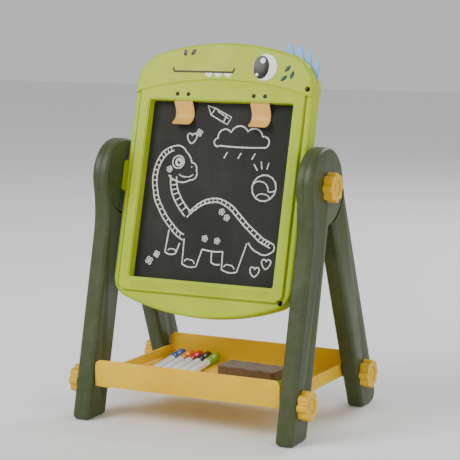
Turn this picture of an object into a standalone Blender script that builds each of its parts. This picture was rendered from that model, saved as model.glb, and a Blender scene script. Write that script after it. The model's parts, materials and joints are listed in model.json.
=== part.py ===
"""Double-sided tabletop easel for children, with a tray of markers.

Lengths are in metres, +Z is up, and the chalkboard faces -Y. The board turns about a level axis along X
through the heads of two side frames. Pieces of the board are modelled in the board's own frame: X across,
Z up the board, and -Y out of the chalkboard. There, u is the distance across, v the distance up the board
from the pivot, and w the distance out of the board's middle plane.
"""

import math

import bmesh
import bpy
from mathutils import Matrix, Vector

MM = 0.001
GAP = 0.3 * MM

# Side frames: two legs a side, lapped at the head, outer and inner faces in the same planes.
PIVOT_HEIGHT = 311 * MM
LEG_OUTER_X = 158.1 * MM
LEG_INNER_X = 134.5 * MM
LAP_X = (LEG_OUTER_X + LEG_INNER_X) / 2
HEAD_RADIUS = 50 * MM
LEG_WALL = 2.6 * MM
LEG_EDGE = 5 * MM
FRONT_LEG = {"lean": math.radians(13.5), "outer": 31.5 * MM, "inner": 15.6 * MM, "toe": 6 * MM}
REAR_LEG = {"lean": math.radians(21.9), "outer": 45.5 * MM, "inner": 1.6 * MM, "toe": 14 * MM}
HEAD_BLEND = 150 * MM

# Tray, and the bolts that hold it between the legs.
TRAY_HALF_WIDTH = 132.9 * MM
TRAY_FRONT = -87.4 * MM
TRAY_BACK = 117 * MM
TRAY_BOTTOM = 43.8 * MM
TRAY_TOP = 78.1 * MM
TRAY_SIDE_TOP = 60.6 * MM
TRAY_WALL = 3 * MM
TRAY_CORNER = 8 * MM
FLOOR_TOP = TRAY_BOTTOM + TRAY_WALL
BOLT_HEIGHT = 47.5 * MM
FRONT_BOLT = -74 * MM
REAR_BOLT = 125 * MM
EAR_BACK = 135 * MM

# Hand screws and the inserts that they bite into.
KNOB_RADIUS = 17.6 * MM
KNOB_LOBE = 1.5 * MM
KNOB_LOBES = 8
KNOB_THICKNESS = 12 * MM
STUD_RADIUS = 3 * MM
STUD_HOLE = 3.6 * MM
INSERT_INNER = 3.5 * MM
INSERT_OUTER = 5.4 * MM
INSERT_SEAT = 5.8 * MM
BOSS_RADIUS = 8.2 * MM
INSERT_LENGTH = 13 * MM

# Board.
TILT = math.radians(14.8)
BOARD_HALF_WIDTH = 128.5 * MM
DOME_TOP = 180 * MM
DOME_RADIUS = 330 * MM
DOME_CORNER = 45 * MM
SMILE_BOTTOM = -179 * MM
SMILE_RADIUS = 320 * MM
SMILE_CORNER = 28 * MM
OPENING = (-104.2 * MM, -133.5 * MM, 104.2 * MM, 102.1 * MM)
OPENING_CORNER = 3 * MM
RIM_DEPTH = 12 * MM
FACE_DEPTH = 15.6 * MM
SHELL_WALL = 2.6 * MM
PAD_INSET = 10 * MM
PAD_BOTTOM = -151 * MM
PANEL_MARGIN = 7 * MM
CHALKBOARD = (-0.3 * MM, 1.3 * MM)
WHITEBOARD = (-1.3 * MM, -0.6 * MM)
SIDE_BOSS_RADIUS = 22 * MM
SIDE_BOSS_X = 133.6 * MM
SHELL_SCREWS = ((121 * MM, 121 * MM), (115 * MM, -151 * MM))
SHELL_SCREW_SEAT = 5 * MM

# Paper clips, two on each face, above the opening.
CLIP_CENTRES = (-55.5 * MM, 55.5 * MM)
CLIP_WIDTH = 27 * MM
CLIP_THICKNESS = 1.6 * MM
CLIP_AXIS = (103.4 * MM, 11.7 * MM)
CLIP_SCREW_V = 110 * MM
CLIP_SCREW_SPREAD = 8 * MM

# Crest of four spikes on one shoulder, held between the shells.
CREST_HALF_THICKNESS = 1.5 * MM
SPIKES = ((74, 84, 184, 91.5), (91.5, 98.5, 181, 105.5), (105.5, 112.5, 173, 116.5), (116.5, 126, 162, 126))

# Five markers and an eraser in the tray.
MARKER_COLOURS = ("blue", "orange", "red", "black", "green")
MARKER_TURN = math.radians(8.7)
MARKER_FIRST_X = -108 * MM
MARKER_PITCH = 13.5 * MM
MARKER_FAR_Y = 106 * MM
MARKER_LENGTH = 134 * MM
BARREL_RADIUS = 5 * MM
CAP_RADIUS = 5.9 * MM
CAP_BORE = 4.7 * MM
CAP_LENGTH = 43 * MM
ERASER_CENTRE = (52 * MM, 0 * MM)
ERASER_SIZE = (86 * MM, 42 * MM)
ERASER_BODY_HEIGHT = 11 * MM
ERASER_FELT_HEIGHT = 14 * MM


def clear_scene():
    for item in list(bpy.data.objects):
        bpy.data.objects.remove(item, do_unlink=True)


def make_material(name, colour, roughness, metallic=0.0):
    material = bpy.data.materials.new(name)
    material.use_nodes = True
    shader = material.node_tree.nodes["Principled BSDF"]
    shader.inputs["Base Color"].default_value = (*colour, 1.0)
    shader.inputs["Roughness"].default_value = roughness
    shader.inputs["Metallic"].default_value = metallic
    material.diffuse_color = (*colour, 1.0)
    return material


def make_object(name, mesh_edit, material, parent=None):
    bmesh.ops.recalc_face_normals(mesh_edit, faces=mesh_edit.faces)
    mesh = bpy.data.meshes.new(name)
    mesh_edit.to_mesh(mesh)
    mesh_edit.free()
    mesh.shade_smooth()
    mesh.set_sharp_from_angle(angle=math.radians(35))
    item = bpy.data.objects.new(name, mesh)
    bpy.context.scene.collection.objects.link(item)
    if material:
        mesh.materials.append(material)
    item.parent = parent
    return item


def make_empty(name, place, parent=None):
    empty = bpy.data.objects.new(name, None)
    bpy.context.scene.collection.objects.link(empty)
    empty.empty_display_size = 0.02
    empty.location = place
    empty.parent = parent
    return empty


def apply_boolean(item, other, operation):
    """A live Boolean, with the other object kept as a hidden helper."""
    other.hide_render = True
    other.display_type = "WIRE"
    modifier = item.modifiers.new(other.name, "BOOLEAN")
    modifier.operation = operation
    # EXACT leaves open edges on the shells and loses the legs.
    difficult = item.name.endswith("_shell") or "_leg_" in item.name
    modifier.solver = "MANIFOLD" if difficult else "EXACT"
    modifier.object = other


def cut(item, *others):
    for other in others:
        apply_boolean(item, other, "DIFFERENCE")


def add(item, *others):
    for other in others:
        apply_boolean(item, other, "UNION")


# Mappings from an outline's plane and its extrusion to a piece's own axes.
SIDE_PLANE = Matrix(((0, 0, 1), (1, 0, 0), (0, 1, 0))).to_4x4()
BOARD_FRONT = Matrix(((1, 0, 0), (0, 0, -1), (0, 1, 0))).to_4x4()
BOARD_REAR = Matrix(((-1, 0, 0), (0, 0, 1), (0, 1, 0))).to_4x4()
FLOOR_PLANE = Matrix.Identity(4)


def arc(centre, radius, start, end, steps):
    """Points of a circular arc, angles in degrees."""
    points = []
    for step in range(steps + 1):
        angle = math.radians(start + (end - start) * step / steps)
        points.append((centre[0] + radius * math.cos(angle), centre[1] + radius * math.sin(angle)))
    return points


def rounded_box(low_a, low_b, high_a, high_b, radius, steps=3):
    """Outline of a rectangle with round corners, anticlockwise."""
    if radius <= 0:
        return [(low_a, low_b), (high_a, low_b), (high_a, high_b), (low_a, high_b)]
    outline = arc((high_a - radius, low_b + radius), radius, -90, 0, steps)
    outline += arc((high_a - radius, high_b - radius), radius, 0, 90, steps)
    outline += arc((low_a + radius, high_b - radius), radius, 90, 180, steps)
    outline += arc((low_a + radius, low_b + radius), radius, 180, 270, steps)
    return outline


def plate(outlines, low, high, plane, bevel_high=0.0, bevel_low=0.0, segments=2):
    """A flat piece with a list of outlines, the first outside and the others holes, from low to high."""
    shape = bmesh.new()
    edges = []
    for outline in outlines:
        points = [shape.verts.new((a, b, low)) for a, b in outline]
        for index, point in enumerate(points):
            edges.append(shape.edges.new((point, points[(index + 1) % len(points)])))
    if len(outlines) == 1:
        shape.faces.new(list(shape.verts))
    else:
        bmesh.ops.triangle_fill(shape, use_beauty=True, edges=edges)
    raised = bmesh.ops.extrude_face_region(shape, geom=list(shape.faces))
    top = [item for item in raised["geom"] if isinstance(item, bmesh.types.BMVert)]
    bmesh.ops.translate(shape, verts=top, vec=(0, 0, high - low))
    bmesh.ops.recalc_face_normals(shape, faces=shape.faces)
    for level, width in ((high, bevel_high), (low, bevel_low)):
        if width:
            bevel_rim(shape, level, width, segments)
    bmesh.ops.transform(shape, matrix=plane, verts=shape.verts)
    return shape


def bevel_rim(shape, level, width, segments):
    """Rounds the edges where a plate's flat face at this level meets its walls."""
    rim = []
    for edge in shape.edges:
        flat = all(abs(vert.co.z - level) < 1e-7 for vert in edge.verts)
        walls = [face for face in edge.link_faces if abs(face.normal.z) < 0.5]
        if flat and len(walls) == 1:
            rim.append(edge)
    bmesh.ops.bevel(shape, geom=rim, offset=width, segments=segments, profile=0.5, affect="EDGES")


def turned(profile, steps, place=Matrix.Identity(4)):
    """A piece turned about X. The profile lists (distance along X, radius), and may be closed into a ring."""
    shape = bmesh.new()
    ring = profile[0][1] > 0
    points = [shape.verts.new((along, radius, 0)) for along, radius in profile]
    edges = [shape.edges.new(pair) for pair in zip(points, points[1:])]
    if ring:
        edges.append(shape.edges.new((points[-1], points[0])))
    bmesh.ops.spin(
        shape, geom=points + edges, cent=(0, 0, 0), axis=(1, 0, 0), angle=math.tau, steps=steps
    )
    bmesh.ops.remove_doubles(shape, verts=shape.verts, dist=1e-6)
    bmesh.ops.transform(shape, matrix=place, verts=shape.verts)
    return shape


def rod(low, high, radius, steps=16, place=Matrix.Identity(4)):
    """A plain cylinder along X."""
    return turned([(low, 0), (low, radius), (high, radius), (high, 0)], steps, place)


def tube(low, high, inner, outer, steps=16, place=Matrix.Identity(4)):
    """A plain ring along X."""
    return turned([(low, inner), (low, outer), (high, outer), (high, inner)], steps, place)


def box(low, high):
    shape = bmesh.new()
    bmesh.ops.create_cube(shape, size=1)
    for vert in shape.verts:
        for axis in range(3):
            vert.co[axis] = high[axis] if vert.co[axis] > 0 else low[axis]
    return shape


def helper(name, shape, parent=None):
    """An object that only cuts or joins, and isn't part of the easel."""
    item = make_object(name, shape, None, parent)
    item.hide_render = True
    item.display_type = "WIRE"
    return item


# ---------------------------------------------------------------- legs


def leg_frame(leg):
    """Unit vectors out of the leg's outer edge and down its shank, as (outward, up)."""
    lean = leg["lean"]
    return (math.cos(lean), math.sin(lean)), (math.sin(lean), -math.cos(lean))


def leg_point(leg, out, down):
    outward, along = leg_frame(leg)
    return (out * outward[0] + down * along[0], out * outward[1] + down * along[1])


def edge_at_height(leg, out, height):
    """How far outward an edge line, at distance out from the pivot, is at this height above the pivot."""
    return (out - height * math.sin(leg["lean"])) / math.cos(leg["lean"])


def foot_corner(leg, out, radius, outer_side):
    """Points that round the corner between an edge line and the floor."""
    floor = -PIVOT_HEIGHT
    corner = Vector((edge_at_height(leg, out, floor), floor))
    along = leg_frame(leg)[1]
    up_edge = Vector((-along[0], -along[1]))
    inwards = Vector((-1 if outer_side else 1, 0))
    turn = math.acos(max(-1, min(1, up_edge.dot(inwards))))
    reach = radius / math.tan(turn / 2)
    start = corner + up_edge * reach
    end = corner + inwards * reach
    points = []
    for step in range(4):
        share = step / 3
        middle = start.lerp(corner, share).lerp(corner.lerp(end, share), share)
        points.append((middle.x, middle.y))
    return points


def leg_outline(leg):
    """Outline of one leg, outward and up from the pivot: a round head that blends into a straight shank."""
    blend_out = leg["outer"] + HEAD_BLEND
    blend_down = math.sqrt((HEAD_RADIUS + HEAD_BLEND) ** 2 - blend_out**2)
    centre = leg_point(leg, blend_out, blend_down)
    on_shank = leg_point(leg, leg["outer"], blend_down)
    towards = math.degrees(math.atan2(centre[1], centre[0]))
    from_shank = math.degrees(math.atan2(on_shank[1] - centre[1], on_shank[0] - centre[0]))
    blend = arc(centre, HEAD_BLEND, from_shank, towards - 180, 4)
    inner_down = math.sqrt(HEAD_RADIUS**2 - leg["inner"] ** 2)
    on_inner = leg_point(leg, -leg["inner"], inner_down)
    end = math.degrees(math.atan2(on_inner[1], on_inner[0])) + 360
    head = arc((0, 0), HEAD_RADIUS, towards, end, 22)
    outer_foot = foot_corner(leg, leg["outer"], leg["toe"], True)
    inner_foot = foot_corner(leg, -leg["inner"], 3 * MM, False)
    return outer_foot[::-1] + blend + head[1:] + inner_foot


def shank_hollow(leg):
    """Outline of the hollow inside a shank, which stops short of the head and the foot."""
    outer = leg["outer"] - LEG_WALL
    inner = -leg["inner"] + LEG_WALL
    top = HEAD_RADIUS + 12 * MM
    floor = -PIVOT_HEIGHT + LEG_WALL
    return [
        (edge_at_height(leg, inner, floor) + 2 * MM, floor),
        (edge_at_height(leg, outer, floor) - leg["toe"], floor),
        (edge_at_height(leg, outer, floor + leg["toe"]), floor + leg["toe"]),
        leg_point(leg, outer, top),
        leg_point(leg, inner, top),
        (edge_at_height(leg, inner, floor + 3 * MM), floor + 3 * MM),
    ]


def make_leg(name, leg, side, outwards, bolt, material, pivot):
    """One leg. side is +1 on the +X side; outwards is -1 for a front leg, whose outer edge faces -Y."""
    across = Matrix.Diagonal((side, outwards, 1, 1))
    shape = plate([leg_outline(leg)], LEG_INNER_X, LEG_OUTER_X, SIDE_PLANE, LEG_EDGE, LEG_EDGE)
    bmesh.ops.transform(shape, matrix=across, verts=shape.verts)
    item = make_object(name, shape, material, pivot)

    hollow = plate([shank_hollow(leg)], LEG_INNER_X + LEG_WALL, LEG_OUTER_X - LEG_WALL, SIDE_PLANE)
    bmesh.ops.transform(hollow, matrix=across, verts=hollow.verts)
    cut(item, helper(name + "_hollow", hollow, pivot))

    # The front leg keeps the outer half of the lap, and the rear leg the inner half.
    if outwards < 0:
        low, high = LEG_INNER_X - 2 * MM, LAP_X + GAP / 2
        pocket = (LAP_X, LEG_OUTER_X - 4 * MM)
    else:
        low, high = LAP_X - GAP / 2, LEG_OUTER_X + 2 * MM
        pocket = (LEG_INNER_X + 4 * MM, LAP_X)
    lap = rod(low, high, HEAD_RADIUS + GAP, 48)
    ring = tube(pocket[0], pocket[1], 12 * MM, 40 * MM, 24)
    pivot_hole = rod(LEG_INNER_X - 5 * MM, LEG_OUTER_X + 5 * MM, STUD_HOLE)
    down = Matrix.Translation((0, bolt, BOLT_HEIGHT - PIVOT_HEIGHT))
    bolt_hole = rod(LEG_INNER_X - 5 * MM, LEG_OUTER_X + 5 * MM, STUD_HOLE, 16, down)
    for label, cutter in (("lap", lap), ("pocket", ring), ("pivot_hole", pivot_hole), ("bolt_hole", bolt_hole)):
        bmesh.ops.transform(cutter, matrix=Matrix.Diagonal((side, 1, 1, 1)), verts=cutter.verts)
        cut(item, helper(name + "_" + label, cutter, pivot))
    return item


# ---------------------------------------------------------------- tray


def end_wall_outline():
    """The front or back wall, seen square on: square below and round at the top corners."""
    half = TRAY_HALF_WIDTH
    outline = [(-half, TRAY_BOTTOM), (half, TRAY_BOTTOM)]
    outline += arc((half - TRAY_CORNER, TRAY_TOP - TRAY_CORNER), TRAY_CORNER, 0, 90, 4)
    outline += arc((-half + TRAY_CORNER, TRAY_TOP - TRAY_CORNER), TRAY_CORNER, 90, 180, 4)
    return outline


def make_tray(material, pivot):
    """An open tray: two tall end walls, two low side walls, and a boss for each bolt."""
    tray = make_object("tray", plate([end_wall_outline()], -TRAY_BACK, -TRAY_FRONT, BOARD_FRONT), material)
    tray.location.y = pivot.location.y
    half = TRAY_HALF_WIDTH
    inside = box(
        (-half + TRAY_WALL, TRAY_FRONT + TRAY_WALL, FLOOR_TOP),
        (half - TRAY_WALL, TRAY_BACK - TRAY_WALL, TRAY_TOP + 5 * MM),
    )
    above_sides = box(
        (-half - 5 * MM, TRAY_FRONT + TRAY_WALL, TRAY_SIDE_TOP),
        (half + 5 * MM, TRAY_BACK - TRAY_WALL, TRAY_TOP + 5 * MM),
    )
    cut(tray, helper("tray_inside", inside, tray), helper("tray_above_sides", above_sides, tray))
    for side, label in ((-1, "left"), (1, "right")):
        flip = Matrix.Diagonal((side, 1, 1, 1))
        ear = plate(
            [rounded_box(TRAY_BACK - 10 * MM, TRAY_BOTTOM, EAR_BACK, TRAY_SIDE_TOP - 4 * MM, 6 * MM)],
            half - TRAY_WALL,
            half,
            SIDE_PLANE,
        )
        bmesh.ops.transform(ear, matrix=flip, verts=ear.verts)
        add(tray, helper("tray_ear_" + label, ear, tray))
        for bolt, end in ((FRONT_BOLT, "front"), (REAR_BOLT, "rear")):
            there = flip @ Matrix.Translation((0, bolt, BOLT_HEIGHT))
            boss = rod(half - INSERT_LENGTH - 1 * MM, half - 1 * MM, BOSS_RADIUS, 20, there)
            seat = rod(half - INSERT_LENGTH - 5 * MM, half + 5 * MM, INSERT_SEAT, 16, there)
            add(tray, helper("tray_boss_%s_%s" % (label, end), boss, tray))
            cut(tray, helper("tray_seat_%s_%s" % (label, end), seat, tray))
    return tray


# ---------------------------------------------------------------- hand screws


def knob_outline():
    """A round outline with shallow lobes."""
    points = []
    count = KNOB_LOBES * 4
    for step in range(count):
        angle = math.tau * step / count
        radius = KNOB_RADIUS + KNOB_LOBE * math.cos(KNOB_LOBES * angle)
        points.append((radius * math.cos(angle), radius * math.sin(angle)))
    return points


def make_hand_screw(name, side, bolt, reach, insert_name, insert_parent, materials, pivot):
    """A lobed knob on a stud, and the threaded insert that the stud turns in."""
    spot = make_empty(name + "_axis", (0, bolt[0], bolt[1]), pivot)
    flip = Matrix.Diagonal((side, 1, 1, 1))
    near = LEG_OUTER_X + GAP
    knob = plate([knob_outline()], near, near + KNOB_THICKNESS, SIDE_PLANE, 2.5 * MM, 0, 1)
    bmesh.ops.transform(knob, matrix=flip, verts=knob.verts)
    knob = make_object(name + "_knob", knob, materials["yellow"], spot)
    socket = rod(near - 5 * MM, near + 8 * MM, STUD_RADIUS + GAP, 16, flip)
    cut(knob, helper(name + "_socket", socket, spot))
    stud = rod(reach - INSERT_LENGTH + 2 * MM, near + 8 * MM - GAP, STUD_RADIUS, 16, flip)
    make_object(name + "_stud", stud, materials["steel"], spot)
    insert = tube(reach - INSERT_LENGTH, reach, INSERT_INNER, INSERT_OUTER, 16, flip)
    insert = make_object(insert_name, insert, materials["brass"], insert_parent)
    return insert


# ---------------------------------------------------------------- board


def board_outline(inset=0.0, steps=6):
    """The board's outline: straight sides, a domed head and a smile-shaped bottom, anticlockwise."""
    half = BOARD_HALF_WIDTH - inset
    dome_centre = DOME_TOP - DOME_RADIUS
    corner = DOME_CORNER - inset
    corner_u = BOARD_HALF_WIDTH - DOME_CORNER
    corner_v = dome_centre + math.sqrt((DOME_RADIUS - DOME_CORNER) ** 2 - corner_u**2)
    meet = math.degrees(math.atan2(corner_v - dome_centre, corner_u))
    smile_centre = SMILE_BOTTOM + SMILE_RADIUS
    low_corner = SMILE_CORNER - inset
    low_u = BOARD_HALF_WIDTH - SMILE_CORNER
    low_v = smile_centre - math.sqrt((SMILE_RADIUS - SMILE_CORNER) ** 2 - low_u**2)
    low_meet = math.degrees(math.atan2(low_v - smile_centre, low_u))
    outline = arc((corner_u, corner_v), corner, 0, meet, steps)
    outline += arc((0, dome_centre), DOME_RADIUS - inset, meet, 180 - meet, steps + 2)[1:-1]
    outline += arc((-corner_u, corner_v), corner, 180 - meet, 180, steps)
    outline += arc((-low_u, low_v), low_corner, 180, 180 - low_meet, steps)
    outline += arc((0, smile_centre), SMILE_RADIUS - inset, 180 - low_meet, 360 + low_meet, steps + 2)[1:-1]
    outline += arc((low_u, low_v), low_corner, 360 + low_meet, 360, steps)
    assert abs(outline[0][0] - half) < 1e-9
    return outline


def pad_outline(inset=0.0):
    """The raised area of a shell's face: the head and a band round the opening, square across the bottom."""
    outline = [point for point in board_outline(PAD_INSET + inset) if point[1] > 0]
    half = BOARD_HALF_WIDTH - PAD_INSET - inset
    corner = 10 * MM
    bottom = PAD_BOTTOM + inset
    lower = arc((-half + corner, bottom + corner), corner, 180, 270, 3)
    lower += arc((half - corner, bottom + corner), corner, 270, 360, 3)
    return outline + lower


def opening_outline(margin=0.0):
    low_u, low_v, high_u, high_v = OPENING
    radius = OPENING_CORNER + margin
    return rounded_box(low_u - margin, low_v - margin, high_u + margin, high_v + margin, radius, 2)


def crest_outline():
    """Four spikes along the shoulder, on a root that lies inside the rim."""
    spikes = []
    for start, peak_u, peak_v, end in SPIKES:
        spikes.append((shoulder_point(start * MM), (peak_u * MM, peak_v * MM), shoulder_point(end * MM)))
    outline = []
    for start, peak, end in spikes:
        outline.append(start)
        outline += blunt(start, peak, end)
    last = (BOARD_HALF_WIDTH - 1.5 * MM, 134 * MM)
    outline.append(last)
    inner = []
    for u in (BOARD_HALF_WIDTH - 9 * MM, 112 * MM, 104 * MM, 92 * MM, 76 * MM):
        inner.append(shoulder_point(u, 7 * MM))
    return outline + inner


def blunt(start, peak, end):
    """Three points that round a spike's tip."""
    tip = Vector(peak)
    return [tuple(tip.lerp(Vector(start), 0.16)), peak, tuple(tip.lerp(Vector(end), 0.16))]


def shoulder_point(u, depth=2.0 * MM):
    """A point at distance u across, this far inside the board's top edge."""
    dome_centre = DOME_TOP - DOME_RADIUS
    corner_u = BOARD_HALF_WIDTH - DOME_CORNER
    corner_v = dome_centre + math.sqrt((DOME_RADIUS - DOME_CORNER) ** 2 - corner_u**2)
    if u < corner_u * DOME_RADIUS / (DOME_RADIUS - DOME_CORNER):
        return (u, dome_centre + math.sqrt((DOME_RADIUS - depth) ** 2 - u**2))
    reach = max(0.0, (DOME_CORNER - depth) ** 2 - (u - corner_u) ** 2)
    return (u, corner_v + math.sqrt(reach))


def make_shell(name, facing, material, board):
    """One shell of the board. The rear one is the front one turned half round about the upright axis."""
    plane = BOARD_FRONT if facing > 0 else BOARD_REAR
    split = GAP / 2
    shell = make_object(
        name, plate([board_outline(), opening_outline()], split, RIM_DEPTH, plane, 4 * MM), material, board
    )
    pad = plate([pad_outline(), opening_outline()], RIM_DEPTH - 3 * MM, FACE_DEPTH, plane, 1.2 * MM, 0, 1)
    add(shell, helper(name + "_pad", pad, board))

    recess_wall = opening_outline(SHELL_WALL)
    rim_pocket = plate([board_outline(SHELL_WALL), recess_wall], -2 * MM, RIM_DEPTH - SHELL_WALL, plane)
    pad_pocket = plate([pad_outline(SHELL_WALL), recess_wall], -1 * MM, FACE_DEPTH - SHELL_WALL, plane)
    panel_seat = plate([opening_outline(PANEL_MARGIN + GAP)], -1 * MM, CHALKBOARD[1] + GAP, plane)
    cut(shell, helper(name + "_rim_pocket", rim_pocket, board), helper(name + "_pad_pocket", pad_pocket, board))
    cut(shell, helper(name + "_panel_seat", panel_seat, board))

    for side, label in ((-1, "left"), (1, "right")):
        flip = Matrix.Diagonal((side, 1, 1, 1))
        boss = plate([side_boss_outline(facing)], 113.5 * MM, SIDE_BOSS_X, SIDE_PLANE, 1 * MM, 0, 1)
        bmesh.ops.transform(boss, matrix=flip, verts=boss.verts)
        seat = rod(110 * MM, SIDE_BOSS_X + 5 * MM, INSERT_SEAT, 16, flip)
        add(shell, helper("%s_boss_%s" % (name, label), boss, board))
        cut(shell, helper("%s_seat_%s" % (name, label), seat, board))

    for index, (u, v) in enumerate(SHELL_SCREWS):
        for side, label in ((1, "head"), (-1, "pilot")):
            low, high = split, RIM_DEPTH - SHELL_WALL + 0.5 * MM
            radius = (6 if side > 0 else 4.5) * MM
            spot = arc((u * side, v), radius, 0, 350, 15)
            add(shell, helper("%s_post_%d_%s" % (name, index, label), plate([spot], low, high, plane), board))
            if side > 0:
                shaft = plate([arc((u, v), 1.9 * MM, 0, 330, 11)], -1 * MM, RIM_DEPTH, plane)
                well = plate([arc((u, v), 3.7 * MM, 0, 345, 15)], SHELL_SCREW_SEAT, 20 * MM, plane)
                cut(shell, helper("%s_shaft_%d" % (name, index), shaft, board))
                cut(shell, helper("%s_well_%d" % (name, index), well, board))
            else:
                pilot = plate([arc((-u, v), 1.9 * MM, 0, 330, 11)], -1 * MM, 8.5 * MM, plane)
                cut(shell, helper("%s_pilot_%d" % (name, index), pilot, board))

    for index, centre in enumerate(CLIP_CENTRES):
        half = CLIP_WIDTH / 2 + 0.6 * MM
        slot = plate(
            [rounded_box(centre - half, 99 * MM, centre + half, 106 * MM, 0)], 9.6 * MM, 13.6 * MM, plane
        )
        cut(shell, helper("%s_slot_%d" % (name, index), slot, board))
        for way in (-1, 1):
            spot = (centre + way * CLIP_SCREW_SPREAD, CLIP_SCREW_V)
            hole = plate([arc(spot, 1.7 * MM, 0, 330, 11)], 8 * MM, 20 * MM, plane)
            sink = plate([arc(spot, 2.9 * MM, 0, 330, 11)], FACE_DEPTH - 1.4 * MM, 20 * MM, plane)
            cut(shell, helper("%s_clip_hole_%d_%d" % (name, index, way), hole, board))
            cut(shell, helper("%s_clip_sink_%d_%d" % (name, index, way), sink, board))

    half = CREST_HALF_THICKNESS + GAP
    slot = plate([crest_slot_outline()], -half, half, BOARD_FRONT)
    cut(shell, helper(name + "_crest_slot", slot, board))
    return shell


def crest_slot_outline():
    """The space that the crest's root takes in both shells, open at the rim."""
    outer = []
    inner = []
    for u in (71.5, 80, 90, 100, 108, 115, 121, 125.5):
        outer.append(shoulder_point(u * MM, -3 * MM))
    outer.append((BOARD_HALF_WIDTH + 3 * MM, 132 * MM))
    inner.append((BOARD_HALF_WIDTH - 10 * MM, 132 * MM))
    for u in (116, 108, 100, 90, 80, 71.5):
        inner.append(shoulder_point(u * MM, 9 * MM))
    return outer + inner


def side_boss_outline(facing):
    """Half of the round boss that carries the pivot, cut flat at the split line and at the rim's face."""
    reach = RIM_DEPTH - 1 * MM
    rise = math.sqrt(SIDE_BOSS_RADIUS**2 - reach**2)
    steps = 3
    points = []
    for step in range(steps + 1):
        w = GAP / 2 + (reach - GAP / 2) * step / steps
        points.append((w, math.sqrt(SIDE_BOSS_RADIUS**2 - w**2)))
    points += [(w, -v) for w, v in points[::-1]]
    assert abs(points[steps][1] - rise) < 1e-9
    return [(-facing * w, v) for w, v in points]


def make_panel(name, layer, material, board):
    outline = opening_outline(PANEL_MARGIN)
    return make_object(name, plate([outline], layer[0], layer[1], BOARD_FRONT), material, board)


def clip_path():
    """The clip's middle line, as (v, w) from its hinge axis: a tab, a leaf that dips, and a lip that turns out."""
    points = [(11.5, 0), (5, 0), (0, 0), (-4, -1.2)]
    points += [(-9, -5.2), (-15, -8.6), (-21, -9.1), (-26, -6.8), (-30, -2.2), (-32.5, 1.2)]
    return [Vector((v * MM, w * MM)) for v, w in points]


def clip_outline():
    """The clip seen from its side: its middle line with half its thickness each way."""
    path = clip_path()
    left = []
    right = []
    for index, point in enumerate(path):
        before = path[max(index - 1, 0)]
        after = path[min(index + 1, len(path) - 1)]
        way = (after - before).normalized()
        normal = Vector((-way.y, way.x)) * CLIP_THICKNESS / 2
        left.append(point + normal)
        right.append(point - normal)
    return left + right[::-1]


def make_clip(name, facing, centre, material, board):
    """One paper clip, with its origin on the line where it bends."""
    spot = make_empty(name + "_axis", (facing * centre, -facing * CLIP_AXIS[1], CLIP_AXIS[0]), board)
    outline = [(-facing * point.y, point.x) for point in clip_outline()]
    shape = plate([outline], -CLIP_WIDTH / 2, CLIP_WIDTH / 2, SIDE_PLANE)
    clip = make_object(name, shape, material, spot)
    for way in (-1, 1):
        place = Matrix.Translation((way * CLIP_SCREW_SPREAD, 0, CLIP_SCREW_V - CLIP_AXIS[0]))
        hole = rod(-5 * MM, 5 * MM, 2.3 * MM, 12, place @ Matrix.Rotation(math.pi / 2, 4, "Z"))
        cut(clip, helper("%s_hole_%d" % (name, way), hole, spot))
    return clip


def make_screw(name, place, head_radius, head_height, shank_radius, length, facing, material, board):
    """A pan-head screw. place is (u, v, w) under its head, and it points into the board."""
    u, v, w = place
    profile = [(0, 0), (0, shank_radius), (length, shank_radius)]
    profile += [(length, head_radius), (length + head_height * 0.6, head_radius)]
    profile += [(length + head_height, head_radius * 0.55), (length + head_height, 0)]
    out = Matrix.Rotation(-facing * math.pi / 2, 4, "Z")
    there = Matrix.Translation((facing * u, -facing * (w - length), v))
    return make_object(name, turned(profile, 8, there @ out), material, board)


def make_crest(material, board):
    shape = plate([crest_outline()], -CREST_HALF_THICKNESS, CREST_HALF_THICKNESS, BOARD_FRONT)
    return make_object("crest", shape, material, board)


# ---------------------------------------------------------------- markers and eraser


def make_marker(index, colour, materials, tray):
    """A marker lying in the tray, cap to the back: a capped end at the empty, and the barrel towards the front."""
    far = (MARKER_FIRST_X + index * MARKER_PITCH, MARKER_FAR_Y, FLOOR_TOP + CAP_RADIUS + GAP)
    spot = make_empty("marker_%s_axis" % colour, far, tray)
    spot.rotation_euler = (0, 0, -math.pi / 2 + MARKER_TURN)
    cap_profile = [(CAP_LENGTH, CAP_BORE), (3 * MM, CAP_BORE), (3 * MM, 0), (0, 0)]
    cap_profile += [(0, CAP_RADIUS - 1 * MM), (1 * MM, CAP_RADIUS), (CAP_LENGTH, CAP_RADIUS)]
    cap = turned(cap_profile[3:] + cap_profile[:3], 14)
    make_object("marker_cap_" + colour, cap, materials["cap_" + colour], spot)
    neck = CAP_BORE - 0.4 * MM
    end = MARKER_LENGTH
    barrel_profile = [(5 * MM, 0), (5 * MM, 1.6 * MM), (9 * MM, 1.8 * MM), (11 * MM, neck)]
    barrel_profile += [(CAP_LENGTH + GAP, neck), (CAP_LENGTH + GAP, BARREL_RADIUS)]
    barrel_profile += [(end - 1 * MM, BARREL_RADIUS), (end, BARREL_RADIUS - 1 * MM), (end, 0)]
    make_object("marker_barrel_" + colour, turned(barrel_profile, 14), materials["white"], spot)


def eraser_outline():
    """A block eraser seen from above, with round corners."""
    half_length, half_depth = ERASER_SIZE[0] / 2, ERASER_SIZE[1] / 2
    return rounded_box(-half_length, -half_depth, half_length, half_depth, 6 * MM)


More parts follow.
